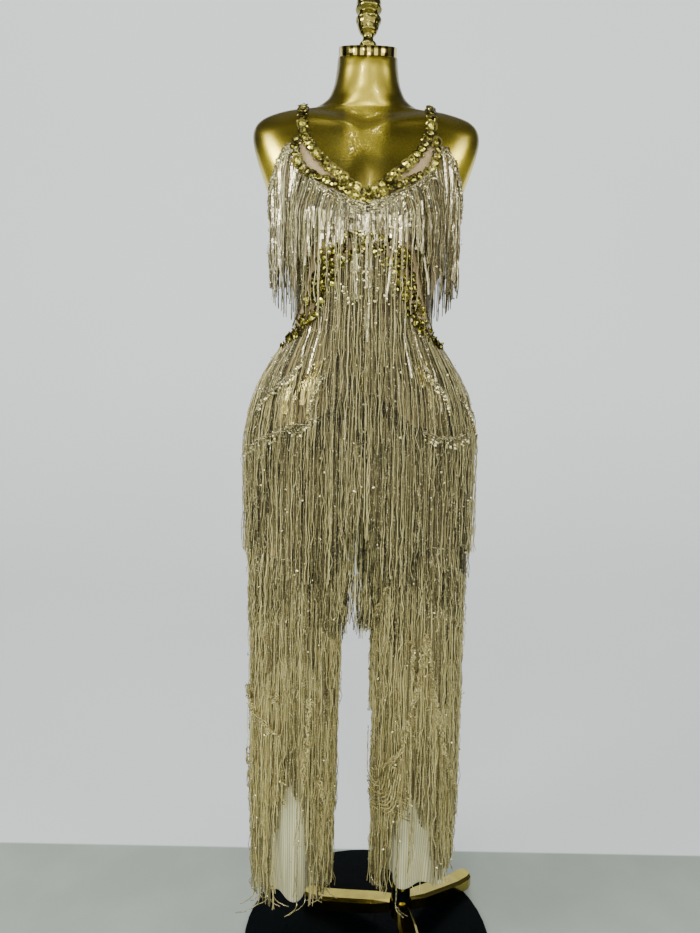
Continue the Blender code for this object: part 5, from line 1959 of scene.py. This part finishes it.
    def _slant(
        self, shop: Workshop, fringe: Fringe, hull: Outside, name: str, line: Sequence[
            Tuple[float, float]
        ], fall: float
    ) -> List[Piece]:
        """A crinkled heading that runs aslant, with its strands."""
        points, columns = fringe.traced(hull, line, 0.0125, fall)
        sheet = fringe.curtain(hull, columns, 0.0115, 0.0135, 0.13)
        steep = abs(line[0][1] - line[-1][1])
        across = run_of(sheet[0])
        straw = shop.finish.straw
        made = fringe.braid(name, points, 8, 0.0085, 210.0, straw, 0.0013)
        weave = Weave(150 * max(steep, 0.1) / max(across, 0.02), 0.0013, 12, 0.0032, 7.0, 0.5, 0.3)
        made.append(fringe.hang(f"{name}_strands", sheet, weave, straw))
        made.append(fringe.glitter(f"{name}_sequins", sheet[:3], 12, 0.0030))
        return made

    def _tangle(
        self, fringe: Fringe, hull: Outside, name: str, spot: Tuple[float, float], seed: int
    ) -> List[Piece]:
        """A few ends that curl sideways."""
        chance = np.random.default_rng(seed)
        made: List[Piece] = []
        for k in range(6):
            side, size = (1 if spot[0] > 0 else -1), 0.005 + 0.009 * chance.random()
            line = []
            for t in np.linspace(0, 2.6 + chance.random(), 14):
                x = spot[0] + side * size * (1 - math.cos(t)) * 0.8 + 0.003 * k
                z = spot[1] - size * 1.5 * math.sin(t) + 0.004 * k
                hit, out = hull.front(x, z)
                line.append(tuple(hit + out * (0.015 + 0.003 * chance.random())))
            straw = fringe.shop.finish.straw
            made += fringe.braid(f"{name}_{k}", np.array(line), 1, 0.0010, 200.0, straw, 0.0015)
        return made

    def _loops(self, fringe: Fringe, hull: Outside) -> List[Piece]:
        """Nested slack loops that hang from the slanting heading, and a long one below them."""
        made: List[Piece] = []
        for k in range(9):
            radius = 0.005 + 0.0029 * k
            line = []
            for t in np.linspace(-0.5, 1.35, 26):
                swing = math.pi * min(max(t, 0.0), 1.0)
                rise = 0.075 * (max(-t, 0.0) / 0.5 + 0.5 * max(t - 1, 0.0) / 0.35)
                x = 0.050 - radius * math.cos(swing) + 0.012 * max(t - 1, 0.0)
                z = 0.322 - radius * 2.2 * math.sin(swing) + rise
                hit, out = hull.front(x, z)
                line.append(tuple(hit + out * 0.0185))
            straw = fringe.shop.finish.straw
            made += fringe.braid(f"loop_{k}", np.array(line), 1, 0.0010, 160.0, straw, 0.0017)
        return made

    def _hooks(self, fringe: Fringe, hull: Outside, sign: int) -> List[Piece]:
        """Strand ends that curl up under the hem."""
        chance = np.random.default_rng(70 + sign)
        made: List[Piece] = []
        spots = [0.026, 0.034, 0.046]
        if sign < 0:
            spots = [*np.linspace(-0.168, -0.132, 9), *np.linspace(-0.082, -0.034, 9)]
        for k, x in enumerate(spots):
            hit, out = hull.front(float(x), 0.15)
            start = hit + out * 0.010
            size = 0.008 + 0.012 * chance.random()
            side = 1 if chance.random() < 0.6 else -1
            drop = 0.096 + 0.024 * chance.random()
            line = [(start.x, start.y, z) for z in np.linspace(0.18, drop, 6)]
            for t in np.linspace(0.25, 1.5 + 1.3 * chance.random(), 10):
                x = start.x + side * size * (1 - math.cos(t))
                line.append((x, start.y - 0.010 * t, drop - size * math.sin(t) * 0.45))
            paint = fringe.shop.finish.sequin if k % 3 else fringe.shop.finish.foil
            made += fringe.braid(f"hook_{k}", np.array(line), 1, 0.0008, 160.0, paint, 0.0015)
        return made


# --- Studio ---
@dataclass(frozen=True)
class Lamp:
    """A square lamp that looks at a point."""

    name: str
    place: Point
    target: Point
    size: float
    power: float


@dataclass
class Studio:
    """Camera, lamps, floor, and surroundings that light the metal but have no shapes."""

    camera_place: Point = (-0.0166, -1.103, 0.95)
    camera_pitch: float = 4.64
    camera_roll: float = 1.1
    focal_px: float = 640.0
    image_height: float = 933.0
    # the surroundings: behind the object, beside it, above it and in front of it
    behind: Colour = (0.70, 0.72, 0.73)
    beside: Colour = (0.09, 0.093, 0.095)
    above: Colour = (0.40, 0.402, 0.400)
    before: Colour = (1.75, 1.75, 1.70)
    surround_power: float = 1.0
    lamps: Tuple[Lamp, ...] = (
        Lamp("front_lamp", (-0.25, -2.0, 2.5), (0.0, 0.0, 1.0), 0.55, 2.5),
        Lamp("left_lamp", (-2.05, -0.95, 2.35), (0.0, 0.0, 1.0), 0.7, 36.0),
        Lamp("right_lamp", (2.0, -0.9, 2.4), (0.0, 0.0, 1.0), 0.7, 12.0),
        Lamp("low_lamp", (0.0, -2.4, 0.8), (0.0, 0.0, 0.4), 0.8, 12.0),
        Lamp("spark_left", (-0.5, -1.7, 2.3), (0.0, 0.0, 1.1), 0.04, 4.0),
        Lamp("spark_right", (0.6, -1.9, 2.1), (0.0, 0.0, 1.0), 0.04, 3.5),
        Lamp("spark_low", (0.1, -1.8, 1.5), (0.0, 0.0, 0.8), 0.04, 4.0),
        Lamp("spark_high", (-0.1, -1.2, 3.0), (0.0, 0.0, 1.2), 0.04, 2.0),
    )
    cove_half_width: float = 5.0
    cove_front: float = -3.4
    cove_back: float = 3.4
    cove_height: float = 5.0
    cove_bend: float = 1.2
    cove_steps: int = 12

    def set_up(self, shop: Workshop) -> None:
        """Makes the camera, the lamps, the surroundings and the floor."""
        camera = bpy.data.cameras.new("view_camera")
        camera.sensor_fit = "AUTO"
        camera.sensor_width = 36.0
        camera.lens = self.focal_px / self.image_height * 36.0
        holder = bpy.data.objects.new("view_camera", camera)
        bpy.context.scene.collection.objects.link(holder)
        turn = Matrix.Rotation(math.radians(90 - self.camera_pitch), 4, "X") @ Matrix.Rotation(
            math.radians(self.camera_roll), 4, "Z"
        )
        holder.matrix_world = Matrix.Translation(self.camera_place) @ turn
        bpy.context.scene.camera = holder
        for lamp in self.lamps:
            light = bpy.data.lights.new(lamp.name, "AREA")
            light.shape = "SQUARE"
            light.size = lamp.size
            light.energy = lamp.power
            made = bpy.data.objects.new(lamp.name, light)
            made.location = lamp.place
            aim = Vector(lamp.target) - Vector(lamp.place)
            made.rotation_euler = aim.to_track_quat("-Z", "Y").to_euler()
            bpy.context.scene.collection.objects.link(made)
        self._surround()
        self._cove(shop)

    def _surround(self) -> None:
        """Surroundings that are pale behind and before the object, and dim beside it and above it."""
        world = bpy.data.worlds.new("surroundings")
        world.use_nodes = True
        sky = Nodes(world.node_tree)
        background = world.node_tree.nodes["Background"]
        way = sky.node("ShaderNodeTexCoord", None, None, "Generated")
        y, z = (sky.node("ShaderNodeSeparateXYZ", None, {0: way}, axis) for axis in ("Y", "Z"))

        def fade(value: Value, low: float, high: float) -> Value:
            """A soft step from 0 at low to 1 at high."""
            return sky.node(
                "ShaderNodeMapRange", {"interpolation_type": "SMOOTHSTEP"}, {0: value, 1: low, 2: high}
            )

        def towards(share: Value, first: Value, second: Colour) -> Value:
            """A colour that turns into the second by the share."""
            return sky.node(
                "ShaderNodeMix", {"data_type": "RGBA"}, {0: share, 6: first, 7: (*second, 1.0)}, 2
            )

        colour = towards(fade(z, 0.80, 0.97), (*self.beside, 1.0), self.above)
        colour = towards(fade(y * -1.0, 0.32, 0.42) * fade(z, 0.57, 0.47), colour, self.before)
        colour = towards(fade(y, 0.42, 0.68), colour, self.behind)
        world.node_tree.links.new(colour.socket, background.inputs["Color"])
        background.inputs["Strength"].default_value = self.surround_power
        bpy.context.scene.world = world

    def _cove(self, shop: Workshop) -> None:
        """The floor, which turns up into a backdrop well behind the object."""
        profile = [(self.cove_front, 0.0), (0.6, 0.0), (self.cove_back - self.cove_bend, 0.0)]
        for k in range(1, self.cove_steps + 1):
            t = math.pi / 2 * k / self.cove_steps
            profile.append(
                (
                    self.cove_back - self.cove_bend + self.cove_bend * math.sin(t),
                    self.cove_bend * (1 - math.cos(t))
                )
            )
        profile.append((self.cove_back, self.cove_height))
        w = self.cove_half_width
        rows = np.array([[(-w, y, z - 0.0004), (w, y, z - 0.0004)] for y, z in profile])
        made = linked("studio_cove", grid_mesh("studio_cove", rows, False))
        made.data.polygons.foreach_set("use_smooth", [True] * len(made.data.polygons))
        made.data.materials.append(shop.finish.cove)


def main() -> None:
    """Builds the scene, piece by piece."""
    logging.basicConfig(level=logging.INFO, format="%(name)s: %(message)s")
    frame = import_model()
    shop = Workshop(frame)
    Studio().set_up(shop)
    Stand().dress(shop)
    form = DressForm().dress(shop)
    Panels().dress(shop, form)
    StoneRows().dress(shop, form)
    fringe = Fringe(shop)
    BodyFringe().dress(shop, fringe)
    LegFringe().dress(shop, fringe)


if __name__ == "__main__":
    main()
